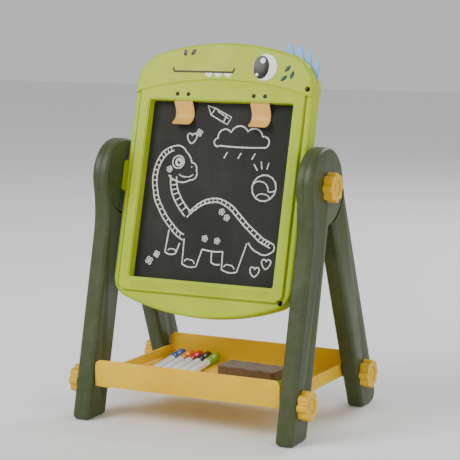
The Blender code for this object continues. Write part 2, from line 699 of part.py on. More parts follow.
def make_eraser(materials, tray):
    spot = make_empty("eraser_place", (ERASER_CENTRE[0], ERASER_CENTRE[1], FLOOR_TOP + GAP), tray)
    spot.rotation_euler = (0, 0, math.radians(-4))
    body = plate([eraser_outline()], 0, ERASER_BODY_HEIGHT, FLOOR_PLANE, 0, 2 * MM, 1)
    make_object("eraser_body", body, materials["green"], spot)
    low = ERASER_BODY_HEIGHT + GAP
    felt = plate([eraser_outline()], low, low + ERASER_FELT_HEIGHT, FLOOR_PLANE, 2 * MM, 0, 1)
    make_object("eraser_felt", felt, materials["felt"], spot)


# ---------------------------------------------------------------- assembly


def make_materials():
    caps = {
        "blue": (0.014, 0.159, 0.521),
        "orange": (0.913, 0.381, 0.019),
        "red": (0.807, 0.042, 0.019),
        "black": (0.014, 0.014, 0.014),
        "green": (0.381, 0.565, 0.042),
    }
    materials = {
        "leg": make_material("leg_dark_green_plastic", (0.072, 0.102, 0.054), 0.45),
        "frame": make_material("frame_lime_plastic", (0.434, 0.527, 0.060), 0.4),
        "yellow": make_material("yellow_plastic", (0.871, 0.527, 0.030), 0.4),
        "green": make_material("eraser_green_plastic", (0.381, 0.565, 0.042), 0.4),
        "clip": make_material("clip_amber_plastic", (0.745, 0.434, 0.080), 0.35),
        "crest": make_material("crest_blue_plastic", (0.332, 0.546, 0.791), 0.4),
        "chalkboard": make_material("chalkboard_paint", (0.042, 0.040, 0.036), 0.9),
        "whiteboard": make_material("whiteboard_enamel", (0.85, 0.86, 0.86), 0.15),
        "steel": make_material("zinc_plated_steel", (0.62, 0.62, 0.62), 0.35, 1.0),
        "brass": make_material("brass", (0.72, 0.52, 0.2), 0.35, 1.0),
        "white": make_material("marker_white_plastic", (0.85, 0.85, 0.85), 0.35),
        "felt": make_material("brown_felt", (0.147, 0.091, 0.048), 0.95),
    }
    for colour, value in caps.items():
        materials["cap_" + colour] = make_material("cap_%s_plastic" % colour, value, 0.35)
    return materials


def depth_middle():
    """Half way between the frontmost and rearmost points of the feet, from the pivot."""
    front = max(point[0] for point in leg_outline(FRONT_LEG))
    rear = max(point[0] for point in leg_outline(REAR_LEG))
    return (rear - front) / 2


def main():
    clear_scene()
    materials = make_materials()
    pivot = make_empty("easel_pivot", (0, -depth_middle(), PIVOT_HEIGHT))
    board = make_empty("board_axis", (0, 0, 0), pivot)
    board.rotation_euler = (-TILT, 0, 0)

    tray = make_tray(materials["yellow"], pivot)
    for side, label in ((-1, "left"), (1, "right")):
        make_leg("front_leg_" + label, FRONT_LEG, side, -1, FRONT_BOLT, materials["leg"], pivot)
        make_leg("rear_leg_" + label, REAR_LEG, side, 1, REAR_BOLT, materials["leg"], pivot)
        name = "pivot_" + label
        make_hand_screw(name, side, (0, 0), SIDE_BOSS_X, name + "_insert", board, materials, pivot)
        for bolt, end in ((FRONT_BOLT, "front"), (REAR_BOLT, "rear")):
            name = "tray_%s_%s" % (end, label)
            place = (bolt, BOLT_HEIGHT - PIVOT_HEIGHT)
            insert = make_hand_screw(
                name, side, place, TRAY_HALF_WIDTH, name + "_insert", tray, materials, pivot
            )
            insert.location = (0, bolt, BOLT_HEIGHT)

    for name, facing in (("front", 1), ("rear", -1)):
        make_shell(name + "_shell", facing, materials["frame"], board)
        for index, centre in enumerate(CLIP_CENTRES):
            label = ("left", "right")[index]
            clip_name = "%s_clip_%s" % (name, label)
            make_clip(clip_name, facing, centre, materials["clip"], board)
            for way, part in ((-1, "a"), (1, "b")):
                place = (centre + way * CLIP_SCREW_SPREAD, CLIP_SCREW_V, FACE_DEPTH - 1.4 * MM + GAP)
                screw = clip_name + "_screw_" + part
                make_screw(
                    screw, place, 2.5 * MM, 1.0 * MM, 1.3 * MM, 5.5 * MM, facing, materials["steel"], board
                )
        for (u, v), label in zip(SHELL_SCREWS, ("upper", "lower")):
            place = (u, v, SHELL_SCREW_SEAT + GAP)
            make_screw(
                "%s_shell_screw_%s" % (name, label),
                place, 3.2 * MM, 2.2 * MM, 1.5 * MM, 12 * MM, facing, materials["steel"], board,
            )
    make_panel("chalkboard_panel", CHALKBOARD, materials["chalkboard"], board)
    make_panel("whiteboard_panel", WHITEBOARD, materials["whiteboard"], board)
    make_crest(materials["crest"], board)

    for index, colour in enumerate(MARKER_COLOURS):
        make_marker(index, colour, materials, tray)
    make_eraser(materials, tray)


main()
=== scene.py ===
# %% [markdown]
# # A tabletop easel, piece by piece
# The easel is a framed board, chalkboard in front and white steel sheet behind, that turns between two
# A-shaped side frames over a tray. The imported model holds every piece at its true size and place. This
# lesson gives each piece the rounded edges, grooves and finishes of the moulded plastic one.

# %% load the frame and keep its size
import json
import math

import bpy
from mathutils import Matrix, Vector


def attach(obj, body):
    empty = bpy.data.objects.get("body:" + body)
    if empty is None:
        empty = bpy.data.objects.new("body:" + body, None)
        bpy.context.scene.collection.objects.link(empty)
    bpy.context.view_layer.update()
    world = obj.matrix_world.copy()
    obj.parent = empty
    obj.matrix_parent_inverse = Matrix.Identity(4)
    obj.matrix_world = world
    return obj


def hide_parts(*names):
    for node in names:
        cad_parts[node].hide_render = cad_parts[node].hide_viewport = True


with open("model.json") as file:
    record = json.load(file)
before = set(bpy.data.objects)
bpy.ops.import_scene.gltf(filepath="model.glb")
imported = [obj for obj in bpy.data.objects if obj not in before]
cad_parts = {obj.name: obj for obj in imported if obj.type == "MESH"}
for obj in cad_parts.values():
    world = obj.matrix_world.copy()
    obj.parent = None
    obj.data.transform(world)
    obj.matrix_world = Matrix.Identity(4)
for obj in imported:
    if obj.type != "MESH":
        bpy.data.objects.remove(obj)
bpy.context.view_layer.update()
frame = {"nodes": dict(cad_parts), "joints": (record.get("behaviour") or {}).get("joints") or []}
MM = 0.001

# %% [markdown]
# ## Where things are
# The board turns about its pivot line and rests leaning back. Both facts could be typed in, but a later
# change of the model would leave the numbers behind, so they are read from the joints: the pivot is the place
# of the board's joint, and the hinges of a front and a rear clip lie straight behind each other through the
# board. From them comes one matrix that stands a piece, drawn flat on the floor as u across, v up the board
# and w out of it, on the board.

# %% the pivot, the lean and the board's matrix
places = {joint["name"]: Vector(joint["pos_m"]) for joint in frame["joints"] if "pos_m" in joint}
PIVOT = places["board_turn"]
through = places["front_clip_left_lift"] - places["rear_clip_right_lift"]
LEAN = math.atan2(through.z, -through.y)
up_board = Vector((0, math.sin(LEAN), math.cos(LEAN)))
out_of_board = Vector((0, -math.cos(LEAN), math.sin(LEAN)))
BOARD = Matrix.Translation(PIVOT) @ Matrix((Vector((1, 0, 0)), up_board, out_of_board)).transposed().to_4x4()
HALF_TURN = Matrix.Rotation(math.pi, 4, "Y")
FACINGS = {"front": Matrix.Identity(4), "rear": HALF_TURN}
print("pivot", PIVOT[:], "lean", round(math.degrees(LEAN), 2), "degrees")

# %% places that several pieces share
# across and up the board, in millimetres
CLIP_CENTRES = {"left": -55.5, "right": 55.5}
CLIP_SCREWS = {"a": -8, "b": 8}
CLIP_SCREW_HEIGHT = 110
SHELL_SCREWS = {"upper": (121, 121), "lower": (115, -151)}
# in front of and behind the pivot, and above the floor
FRONT_BOLT, REAR_BOLT, BOLT_HEIGHT = -74 * MM, 125 * MM, 47.5 * MM
print("tray bolts", round((REAR_BOLT - FRONT_BOLT) / MM), "mm apart")

# %% [markdown]
# ## The camera
# The easel is seen from its right, a little above the tray. A near camera with a short lens would show it
# larger but spread its legs apart, so the camera stands about two metres away, where upright lines stay
# nearly parallel, and a long lens fills the frame with the easel.

# %% set up the camera
camera_data = bpy.data.cameras.new("camera")
camera = bpy.data.objects.new("camera", camera_data)
bpy.context.scene.collection.objects.link(camera)
camera.location = PIVOT + Vector((0.971, -1.868, 0.238))
aim = Vector((0.004, 0, 0.243))
camera.rotation_mode = "QUATERNION"
camera.rotation_quaternion = (aim - camera.location).to_track_quat("-Z", "Y")
camera_data.lens = 128
bpy.context.scene.camera = camera
print("camera distance", round((aim - camera.location).length, 3), "m")

# %% [markdown]
# ## Tools of the workshop
# Most outlines of this easel are straight lines and arcs, as a draughtsman draws them. They could be listed
# point by point, but then no radius could be read or changed. So the main tool is a pencil: one point is
# extruded along lines and spun round centres until it comes back, and the loop is filled. The sheet is then
# extruded to its thickness, and its rims are bevelled. A positive turn is anticlockwise. The spin operator
# counts the other way, so the angle's sign is changed.

# %% draw an outline with lines and arcs
def put_down_all():
    if bpy.context.mode != "OBJECT":
        bpy.ops.object.mode_set(mode="OBJECT")
    bpy.ops.object.select_all(action="DESELECT")


def pick_up(piece):
    put_down_all()
    piece.select_set(True)
    bpy.context.view_layer.objects.active = piece


def trace(name, start, strokes):
    """Draws a wire from start: ("line", end) or ("arc", centre, degrees, steps)."""
    put_down_all()
    bpy.ops.mesh.primitive_plane_add(size=0.001, location=(start[0], start[1], 0))
    piece = bpy.context.active_object
    piece.name = name
    bpy.ops.object.transform_apply(location=True, rotation=True, scale=True)
    bpy.ops.object.mode_set(mode="EDIT")
    bpy.ops.mesh.select_mode(type="VERT")
    bpy.ops.mesh.merge(type="CENTER")
    here = Vector(start)
    for stroke in strokes:
        if stroke[0] == "line":
            step = Vector(stroke[1]) - here
            bpy.ops.mesh.extrude_region_move(TRANSFORM_OT_translate={"value": (step.x, step.y, 0)})
            here = Vector(stroke[1])
        else:
            centre = Vector(stroke[1])
            angle = math.radians(stroke[2])
            bpy.ops.mesh.spin(steps=stroke[3], angle=-angle, center=(*centre, 0), axis=(0, 0, 1))
            here = centre + Matrix.Rotation(angle, 2) @ (here - centre)
    bpy.ops.mesh.select_all(action="SELECT")
    bpy.ops.mesh.remove_doubles(threshold=0.00001)
    bpy.ops.object.mode_set(mode="OBJECT")
    return piece


def bow(start, end, bulge, steps=8):
    """A shallow arc from start to end that bulges to the right of its way by this much."""
    start, end = Vector(start), Vector(end)
    chord = end - start
    left = Vector((-chord.y, chord.x)).normalized()
    radius = (chord.length_squared / 4 + bulge**2) / (2 * abs(bulge))
    way = 1 if bulge > 0 else -1
    centre = (start + end) / 2 + left * (radius - abs(bulge)) * way
    half_angle = math.asin(min(1.0, chord.length / 2 / radius))
    if abs(bulge) > chord.length / 2:
        half_angle = math.pi - half_angle
    return ("arc", centre, math.degrees(2 * half_angle) * way, steps)


print("a bow of 2 on a chord of 10 turns", round(bow((0, 0), (10, 0), 2)[2], 1), "degrees")

# %% thicken a drawn sheet, and round its rims
def cut_sheet(name, start, strokes, low, high):
    """A drawn outline filled and extruded from w = low to w = high."""
    piece = trace(name, start, strokes)
    pick_up(piece)
    bpy.ops.object.mode_set(mode="EDIT")
    bpy.ops.mesh.select_all(action="SELECT")
    bpy.ops.mesh.edge_face_add()
    bpy.ops.transform.translate(value=(0, 0, low))
    bpy.ops.mesh.extrude_region_move(TRANSFORM_OT_translate={"value": (0, 0, high - low)})
    bpy.ops.mesh.select_all(action="SELECT")
    bpy.ops.mesh.normals_make_consistent(inside=False)
    bpy.ops.object.mode_set(mode="OBJECT")
    return piece


def choose(piece, kind, wanted):
    """Goes into edit mode with only the vertices, edges or faces that the test wants selected."""
    pick_up(piece)
    bpy.ops.object.mode_set(mode="EDIT")
    bpy.ops.mesh.select_mode(type=kind)
    bpy.ops.mesh.select_all(action="DESELECT")
    bpy.ops.object.mode_set(mode="OBJECT")
    mesh = piece.data
    items = {"VERT": mesh.vertices, "EDGE": mesh.edges, "FACE": mesh.polygons}[kind]
    for item in items:
        item.select = wanted(item)
    bpy.ops.object.mode_set(mode="EDIT")


def round_rim(piece, level, width, segments=4):
    """Bevels the edges that lie in the plane w = level."""
    points = piece.data.vertices
    choose(piece, "EDGE", lambda edge: all(abs(points[i].co.z - level) < 1e-6 for i in edge.vertices))
    bpy.ops.mesh.bevel(offset=width, segments=segments, profile=0.5, affect="EDGES")
    bpy.ops.object.mode_set(mode="OBJECT")


def soften(piece, width, segments=2, angle=40):
    """Rounds every sharp edge a little, as a mould does."""
    pick_up(piece)
    bevel = piece.modifiers.new("soft edges", "BEVEL")
    bevel.width = width
    bevel.segments = segments
    bevel.limit_method = "ANGLE"
    bevel.angle_limit = math.radians(angle)
    bevel.use_clamp_overlap = True
    bpy.ops.object.modifier_apply(modifier=bevel.name)


def length_along(points, edge, axis):
    """How far an edge runs along one axis."""
    first, second = edge.vertices
    return abs(points[first].co[axis] - points[second].co[axis])


print("sheets and rims can be cut")

# %% carve, join, copy and place
def work(piece, tool, operation):
    """Cuts with a tool or joins it on.

    The exact solver left open edges in the many-faced shells and the legs, so those use the manifold one.
    """
    pick_up(piece)
    change = piece.modifiers.new("change", "BOOLEAN")
    change.operation = operation
    change.solver = "MANIFOLD" if "shell" in piece.name or "leg" in piece.name else "EXACT"
    change.object = tool
    bpy.ops.object.modifier_apply(modifier=change.name)
    bpy.data.objects.remove(tool, do_unlink=True)


def carve(piece, tool):
    work(piece, tool, "DIFFERENCE")


def join_on(piece, other):
    work(piece, other, "UNION")

# %% place, copy and hand over
def settle(piece, matrix):
    """Places a piece and puts its place into its mesh. A mirror turns it inside out, so that is mended."""
    piece.matrix_world = matrix @ piece.matrix_world
    pick_up(piece)
    bpy.ops.object.transform_apply(location=True, rotation=True, scale=True)
    bpy.ops.object.mode_set(mode="EDIT")
    bpy.ops.mesh.select_all(action="SELECT")
    bpy.ops.mesh.normals_make_consistent(inside=False)
    bpy.ops.object.mode_set(mode="OBJECT")
    return piece


def copy_of(piece, name):
    twin = piece.copy()
    twin.data = piece.data.copy()
    twin.name = name
    bpy.context.scene.collection.objects.link(twin)
    return twin


def hand_over(piece, body, material, slot, *nodes):
    """The finished piece gets its finish, rides on its body and stands for its nodes."""
    pick_up(piece)
    bpy.ops.object.shade_smooth_by_angle(angle=math.radians(38))
    piece.data.materials.clear()
    piece.data.materials.append(material)
    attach(piece, body)
    if nodes:
        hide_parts(*nodes)

# %% rods, blocks and turned pieces
def rod(name, place, radius, length, axis="Z", steps=48):
    """A plain cylinder to carve or join with, centred on its place."""
    put_down_all()
    bpy.ops.mesh.primitive_cylinder_add(vertices=steps, radius=radius, depth=length, location=place)
    piece = bpy.context.active_object
    piece.name = name
    turned = {"X": Matrix.Rotation(math.pi / 2, 4, "Y"), "Y": Matrix.Rotation(math.pi / 2, 4, "X")}
    if axis != "Z":
        piece.matrix_world = Matrix.Translation(place) @ turned[axis]
    bpy.ops.object.transform_apply(location=True, rotation=True, scale=True)
    return piece


def block(name, low, high):
    """A plain box between two corners, to carve or join with."""
    low, high = Vector(low), Vector(high)
    put_down_all()
    bpy.ops.mesh.primitive_cube_add(size=1, location=(low + high) / 2)
    piece = bpy.context.active_object
    piece.name = name
    piece.scale = high - low
    bpy.ops.object.transform_apply(location=True, rotation=True, scale=True)
    return piece


def on_lathe(name, profile, steps=40):
    """Spins a drawn profile of (radius, height) pairs about the upright axis."""
    piece = trace(name, profile[0], [("line", point) for point in profile[1:]])
    piece.matrix_world = Matrix.Rotation(math.pi / 2, 4, "X")
    pick_up(piece)
    bpy.ops.object.transform_apply(location=True, rotation=True, scale=True)
    bpy.ops.object.mode_set(mode="EDIT")
    bpy.ops.mesh.select_all(action="SELECT")
    bpy.ops.mesh.spin(steps=steps, angle=math.tau, center=(0, 0, 0), axis=(0, 0, 1))
    bpy.ops.mesh.select_all(action="SELECT")
    bpy.ops.mesh.remove_doubles(threshold=0.000005)
    bpy.ops.mesh.normals_make_consistent(inside=False)
    bpy.ops.object.mode_set(mode="OBJECT")
    return piece


print("workshop ready")

# %% [markdown]
# ## Finishes
# Each finish starts from the real material and how its surface was made. A finish could be one flat colour,
# but no real surface is: its colour drifts, its gloss varies and its skin has a grain. So each is a small
# network of noise patterns on the piece's own coordinates, at sizes in millimetres. Colours are given as in a
# paint chart, as sRGB hex values, and one function turns them to the linear values that light needs.

# %% turn a paint-chart colour to linear light
def paint(code):
    """An sRGB hex colour as linear red, green, blue and alpha."""
    values = []
    for place in (0, 2, 4):
        value = int(code[place:place + 2], 16) / 255
        values.append(value / 12.92 if value <= 0.04045 else ((value + 0.055) / 1.055) ** 2.4)
    return (*values, 1.0)


print("middle grey is", [round(value, 3) for value in paint("808080")])

# %% add a node, and start a finish
def add(tree, kind, inputs=None, out=0, **settings):
    """Adds a node with its settings, values and links, and gives back one of its outputs.

    A Mix node has several sockets called A and B, so its inputs are named by number: 0 is the factor, and
    6 and 7 are the two colours.
    """
    node = tree.nodes.new(kind)
    for name, value in settings.items():
        setattr(node, name, value)
    for name, value in (inputs or {}).items():
        if isinstance(value, bpy.types.NodeSocket):
            tree.links.new(value, node.inputs[name])
        else:
            node.inputs[name].default_value = value
    return node.outputs[out] if node.outputs else node


def new_finish(name):
    """An empty material, its tree, and the place of a point on its piece."""
    material = bpy.data.materials.new(name)
    material.use_nodes = True
    tree = material.node_tree
    tree.nodes.clear()
    return material, tree, add(tree, "ShaderNodeTexCoord", out="Object")


def per_mm(size):
    """The noise scale that gives blotches about this many millimetres across."""
    return 1 / (size * MM)


print("a blotch of 10 mm has scale", round(per_mm(10)))

# %% [markdown]
# ### Moulded plastic
# The big parts are injection or blow moulded ABS and polypropylene. The steel mould is lightly etched, so
# the skin has a fine grain of about half a millimetre and a satin gloss that varies a little where the melt
# flowed and cooled. Handling leaves faint dull smears. The grain could be cut into the shape, but at this
# size a bump does it. It is drawn about 0.9 mm across, coarser than it is, so that it shows. The eye reads it
# as a soft, slightly waxy plastic and not as paint.

# %% the moulded plastic recipe
def moulded_plastic(name, main, deep, gloss, grain_mm=0.9, grain=0.10):
    material, tree, place = new_finish(name)
    flow = add(tree, "ShaderNodeTexNoise", {
        "Vector": place, "Scale": per_mm(70), "Detail": 2, "Roughness": 0.55,
    })
    smear = add(tree, "ShaderNodeTexNoise", {
        "Vector": place, "Scale": per_mm(14), "Detail": 4, "Roughness": 0.65,
    })
    skin = add(tree, "ShaderNodeTexNoise", {
        "Vector": place, "Scale": per_mm(grain_mm), "Detail": 2, "Roughness": 0.55,
    })
    deepness = add(tree, "ShaderNodeMapRange", {"Value": flow, "From Min": 0.35, "From Max": 0.65})
    body = add(tree, "ShaderNodeMix", {
        0: deepness, 6: paint(deep), 7: paint(main),
    }, 2, data_type="RGBA")
    rubbed = add(tree, "ShaderNodeMapRange", {
        "Value": smear, "From Min": 0.45, "From Max": 0.8, "To Max": 0.025,
    })
    body = add(tree, "ShaderNodeMix", {0: rubbed, 6: body, 7: paint("F2F2E6")}, 2, data_type="RGBA")
    dull = add(tree, "ShaderNodeMapRange", {
        "Value": smear, "From Min": 0.3, "From Max": 0.75, "To Min": gloss - 0.07, "To Max": gloss + 0.1,
    })
    grainy = add(tree, "ShaderNodeBump", {"Height": skin, "Strength": grain, "Distance": 0.0004})
    surface = {"Base Color": body, "Roughness": dull, "Normal": grainy, "Specular IOR Level": 0.3}
    add(tree, "ShaderNodeOutputMaterial", {"Surface": add(tree, "ShaderNodeBsdfPrincipled", surface)})
    return material

# %% the plastics of the easel
legs_green = moulded_plastic("polypropylene_dark_green_blow_moulded", "434C2C", "3A4325", 0.42, 1.1, 0.16)
frame_lime = moulded_plastic("abs_lime_green_injection_moulded", "AFC21A", "A4B715", 0.44)
tray_yellow = moulded_plastic("polypropylene_warm_yellow_moulded", "EDBE1C", "E2B012", 0.42)
knob_yellow = moulded_plastic("abs_deep_yellow_moulded", "E2B41C", "D6A712", 0.38)
clip_amber = moulded_plastic("acetal_amber_moulded", "E8B35A", "DCA448", 0.34, 0.7, 0.05)
crest_blue = moulded_plastic("abs_pale_blue_moulded", "7FB4E2", "70A6D8", 0.38)
eraser_green = moulded_plastic("abs_leaf_green_moulded", "86A818", "789A12", 0.40)
marker_white = moulded_plastic("polypropylene_white_moulded", "F2F1EE", "E7E6E2", 0.30, 0.7, 0.04)
eye_white = moulded_plastic("abs_white_moulded", "F6F6F2", "ECECE6", 0.28, 0.7, 0.04)
pupil_brown = moulded_plastic("abs_dark_brown_moulded", "241414", "1D0F0F", 0.25, 0.7, 0.04)
mouth_olive = moulded_plastic("printed_olive_ink_on_abs", "4C4620", "423C1A", 0.45, 0.7, 0.05)
mark_teal = moulded_plastic("printed_teal_ink_on_abs", "174A44", "12403A", 0.45, 0.7, 0.05)
CAP_PAINTS = {
    "blue": ("0D5CB4", "0A519F"), "orange": ("F09208", "E38806"), "red": ("DE2410", "CF1E0C"),
    "black": ("121212", "0E0E0E"), "green": ("90B81C", "83AB17"),
}
cap_finishes = {}
for colour, (main, deep) in CAP_PAINTS.items():
    cap_finishes[colour] = moulded_plastic("polypropylene_%s_moulded" % colour, main, deep, 0.28, 0.7, 0.04)
print(len(bpy.data.materials), "plastics mixed")

# %% [markdown]
# ### Chalkboard paint, enamel and chalk
# Chalkboard paint holds fine grit so that it can grip chalk: it is nearly black, dead matt, and carries a
# grey haze of dust wiped in streaks. The other sheet is enamelled steel, white and glossy, with the slight
# ripple of baked enamel and faint ghosts of old marks. Chalk is a soft stone that leaves grains on the high
# points of the grit only, so a stroke is broken up by the dark board. An even black would look like a hole
# and an even white like paint, so each is mixed from noises. The grit is drawn about 0.7 mm and the chalk's
# grains about 0.9 mm across, coarser than they are.

# %% chalkboard paint
def chalkboard_paint():
    material, tree, place = new_finish("chalkboard_paint_rolled")
    wiping = add(tree, "ShaderNodeMapping", {
        "Vector": place, "Rotation": (0, 0.5, 0), "Scale": (1, 1, 0.25),
    })
    wiped = add(tree, "ShaderNodeTexNoise", {
        "Vector": wiping, "Scale": per_mm(22), "Detail": 5, "Roughness": 0.6,
    })
    cloud = add(tree, "ShaderNodeTexNoise", {
        "Vector": place, "Scale": per_mm(90), "Detail": 2, "Roughness": 0.55,
    })
    grit = add(tree, "ShaderNodeTexNoise", {
        "Vector": place, "Scale": per_mm(0.7), "Detail": 2, "Roughness": 0.55,
    })
    dust = add(tree, "ShaderNodeMath", {0: wiped, 1: cloud}, operation="MULTIPLY")
    haze = add(tree, "ShaderNodeMapRange", {
        "Value": dust, "From Min": 0.2, "From Max": 0.42, "To Max": 0.035,
    })
    body = add(tree, "ShaderNodeMix", {
        0: haze, 6: paint("201F1D"), 7: paint("B9B8B2"),
    }, 2, data_type="RGBA")
    matt = add(tree, "ShaderNodeMapRange", {
        "Value": wiped, "From Min": 0.3, "From Max": 0.7, "To Min": 0.82, "To Max": 0.95,
    })
    gritty = add(tree, "ShaderNodeBump", {"Height": grit, "Strength": 0.25, "Distance": 0.0003})
    shader = add(tree, "ShaderNodeBsdfPrincipled", {
        "Base Color": body, "Roughness": matt, "Normal": gritty,
    })
    add(tree, "ShaderNodeOutputMaterial", {"Surface": shader})
    return material

# %% baked white enamel
def enamel_white():
    material, tree, place = new_finish("enamel_white_baked_on_steel")
    ghost = add(tree, "ShaderNodeTexNoise", {
        "Vector": place, "Scale": per_mm(35), "Detail": 4, "Roughness": 0.6,
    })
    ripple = add(tree, "ShaderNodeTexNoise", {
        "Vector": place, "Scale": per_mm(5), "Detail": 1, "Roughness": 0.55,
    })
    tint = add(tree, "ShaderNodeMapRange", {
        "Value": ghost, "From Min": 0.5, "From Max": 0.8, "To Max": 0.12,
    })
    body = add(tree, "ShaderNodeMix", {
        0: tint, 6: paint("F1F3F2"), 7: paint("C9D2D6"),
    }, 2, data_type="RGBA")
    shiny = add(tree, "ShaderNodeMapRange", {
        "Value": ghost, "From Min": 0.3, "From Max": 0.8, "To Min": 0.10, "To Max": 0.22,
    })
    wavy = add(tree, "ShaderNodeBump", {"Height": ripple, "Strength": 0.06, "Distance": 0.0005})
    surface = {"Base Color": body, "Roughness": shiny, "Normal": wavy}
    surface.update({"Coat Weight": 0.4, "Coat Roughness": 0.05})
    add(tree, "ShaderNodeOutputMaterial", {"Surface": add(tree, "ShaderNodeBsdfPrincipled", surface)})
    return material

# %% stick chalk
def stick_chalk():
    material, tree, place = new_finish("chalk_white_drawn")
    grains = add(tree, "ShaderNodeTexNoise", {
        "Vector": place, "Scale": per_mm(0.9), "Detail": 2, "Roughness": 0.6,
    })
    cover = add(tree, "ShaderNodeMapRange", {
        "Value": grains, "From Min": 0.36, "From Max": 0.56, "To Min": 0.15,
    })
    body = add(tree, "ShaderNodeMix", {
        0: cover, 6: paint("56554F"), 7: paint("ECEBE6"),
    }, 2, data_type="RGBA")
    crumbly = add(tree, "ShaderNodeBump", {"Height": grains, "Strength": 0.5, "Distance": 0.0004})
    shader = add(tree, "ShaderNodeBsdfPrincipled", {
        "Base Color": body, "Roughness": 0.95, "Normal": crumbly,
    })
    add(tree, "ShaderNodeOutputMaterial", {"Surface": shader})
    return material


board_black = chalkboard_paint()
sheet_white = enamel_white()
chalk_white = stick_chalk()
print("board finishes ready")

# %% [markdown]
# ### Zinc-plated steel, turned brass and wool felt
# The studs are steel wire, rolled and zinc plated: a cool grey with fine drawn lines. The small screws are
# given a near-black colour with a dull sheen, which paints the shade deep in the wells they sit in. The
# inserts are turned brass. One recipe does for all three: a bloom of tarnish, and lines half a millimetre
# apart, coarser than they are. Felt is pressed wool: its fibres lie every way, which makes a mottled, dead
# matt surface with a bright fuzz at grazing angles. Hairs could be grown for it, but they would be far finer
# than can be seen, so the fibres are a bump pattern about 0.6 mm apart, coarser than they are.

# %% bare metals
def bare_metal(name, main, tint, gloss):
    material, tree, place = new_finish(name)
    drawn = add(tree, "ShaderNodeMapping", {"Vector": place, "Scale": (0.2, 1, 1)})
    lines = add(tree, "ShaderNodeTexNoise", {
        "Vector": drawn, "Scale": per_mm(0.5), "Detail": 2, "Roughness": 0.55,
    })
    bloom = add(tree, "ShaderNodeTexNoise", {
        "Vector": place, "Scale": per_mm(6), "Detail": 3, "Roughness": 0.55,
    })
    tinted = add(tree, "ShaderNodeMapRange", {"Value": bloom, "From Min": 0.35, "From Max": 0.7})
    body = add(tree, "ShaderNodeMix", {
        0: tinted, 6: paint(main), 7: paint(tint),
    }, 2, data_type="RGBA")
    worn = add(tree, "ShaderNodeMapRange", {
        "Value": lines, "From Min": 0.3, "From Max": 0.7, "To Min": gloss - 0.08, "To Max": gloss + 0.1,
    })
    scored = add(tree, "ShaderNodeBump", {"Height": lines, "Strength": 0.08, "Distance": 0.0002})
    surface = {"Base Color": body, "Roughness": worn, "Normal": scored, "Metallic": 1}
    add(tree, "ShaderNodeOutputMaterial", {"Surface": add(tree, "ShaderNodeBsdfPrincipled", surface)})
    return material

# %% wool felt
def wool_felt():
    material, tree, place = new_finish("wool_felt_brown_pressed")
    fibre = add(tree, "ShaderNodeTexNoise", {
        "Vector": place, "Scale": per_mm(0.6), "Detail": 4, "Roughness": 0.7,
    })
    tuft = add(tree, "ShaderNodeTexNoise", {
        "Vector": place, "Scale": per_mm(6), "Detail": 3, "Roughness": 0.55,
    })
    tufted = add(tree, "ShaderNodeMapRange", {"Value": tuft, "From Min": 0.3, "From Max": 0.7})
    body = add(tree, "ShaderNodeMix", {
        0: tufted, 6: paint("58432C"), 7: paint("6B5236"),
    }, 2, data_type="RGBA")
    fuzz = add(tree, "ShaderNodeMapRange", {
        "Value": fibre, "From Min": 0.45, "From Max": 0.7, "To Max": 0.3,
    })
    body = add(tree, "ShaderNodeMix", {0: fuzz, 6: body, 7: paint("8A7250")}, 2, data_type="RGBA")
    matted = add(tree, "ShaderNodeBump", {"Height": fibre, "Strength": 0.8, "Distance": 0.0008})
    surface = {"Base Color": body, "Roughness": 0.95, "Normal": matted}
    surface.update({"Sheen Weight": 0.15, "Sheen Roughness": 0.5})
    add(tree, "ShaderNodeOutputMaterial", {"Surface": add(tree, "ShaderNodeBsdfPrincipled", surface)})
    return material


zinc_steel = bare_metal("steel_zinc_plated_drawn", "B9BCC0", "9DA2A8", 0.32)
# the screws' near-black colour is painted shade of the deep wells they sit in
dark_screw_steel_painted_shade = bare_metal("steel_screws_near_black_painted_shade", "3A3A3C", "2B2B2E", 0.42)
turned_brass = bare_metal("brass_turned", "D8B45E", "C29B46", 0.30)
felt_brown = wool_felt()
print(len(bpy.data.materials), "finishes in all")

# %% [markdown]
# ## The board's two shells
# The board's frame is two identical mouldings, back to back and screwed together. The outline has straight
# sides, a domed head and a bottom like a shallow smile. A raised band runs round the opening, with a narrow
# groove outside it and a rounded rim beyond. The head is raised right out to the outline. A block could be
# bevelled into something like it, but the dome, the smile and their corners need true radii, so each layer is
# drawn and cut as a sheet. One shell is made lying flat with its face up, then copied and turned half round
# for the back.

# %% the board's measures
HALF_WIDTH = 128.5 * MM
DOME_TOP, DOME_RADIUS, DOME_CORNER = 180 * MM, 330 * MM, 45 * MM
SMILE_BOTTOM, SMILE_RADIUS, SMILE_CORNER = -179 * MM, 320 * MM, 28 * MM
SPLIT, RIM, FACE = 0.15 * MM, 12 * MM, 15.6 * MM
dome_centre = Vector((0, DOME_TOP - DOME_RADIUS))
smile_centre = Vector((0, SMILE_BOTTOM + SMILE_RADIUS))
corner_u = HALF_WIDTH - DOME_CORNER
corner_v = dome_centre.y + math.sqrt((DOME_RADIUS - DOME_CORNER) ** 2 - corner_u**2)
corner_turn = math.degrees(math.atan2(corner_v - dome_centre.y, corner_u))
low_u = HALF_WIDTH - SMILE_CORNER
low_v = smile_centre.y - math.sqrt((SMILE_RADIUS - SMILE_CORNER) ** 2 - low_u**2)
low_turn = math.degrees(math.atan2(smile_centre.y - low_v, low_u))
print("board", round(2 * HALF_WIDTH / MM), "mm wide and", round((DOME_TOP - SMILE_BOTTOM) / MM), "mm high")

# %% sheets of the board's outline and of its raised band
PAD_BOTTOM, PAD_CORNER = -161 * MM, 11 * MM


def head_strokes():
    """From the right side, over the dome, to the left side. The arcs keep their centres at any inset."""
    return [
        ("arc", (corner_u, corner_v), corner_turn, 12),
        ("arc", dome_centre, 180 - 2 * corner_turn, 28),
        ("arc", (-corner_u, corner_v), corner_turn, 12),
    ]


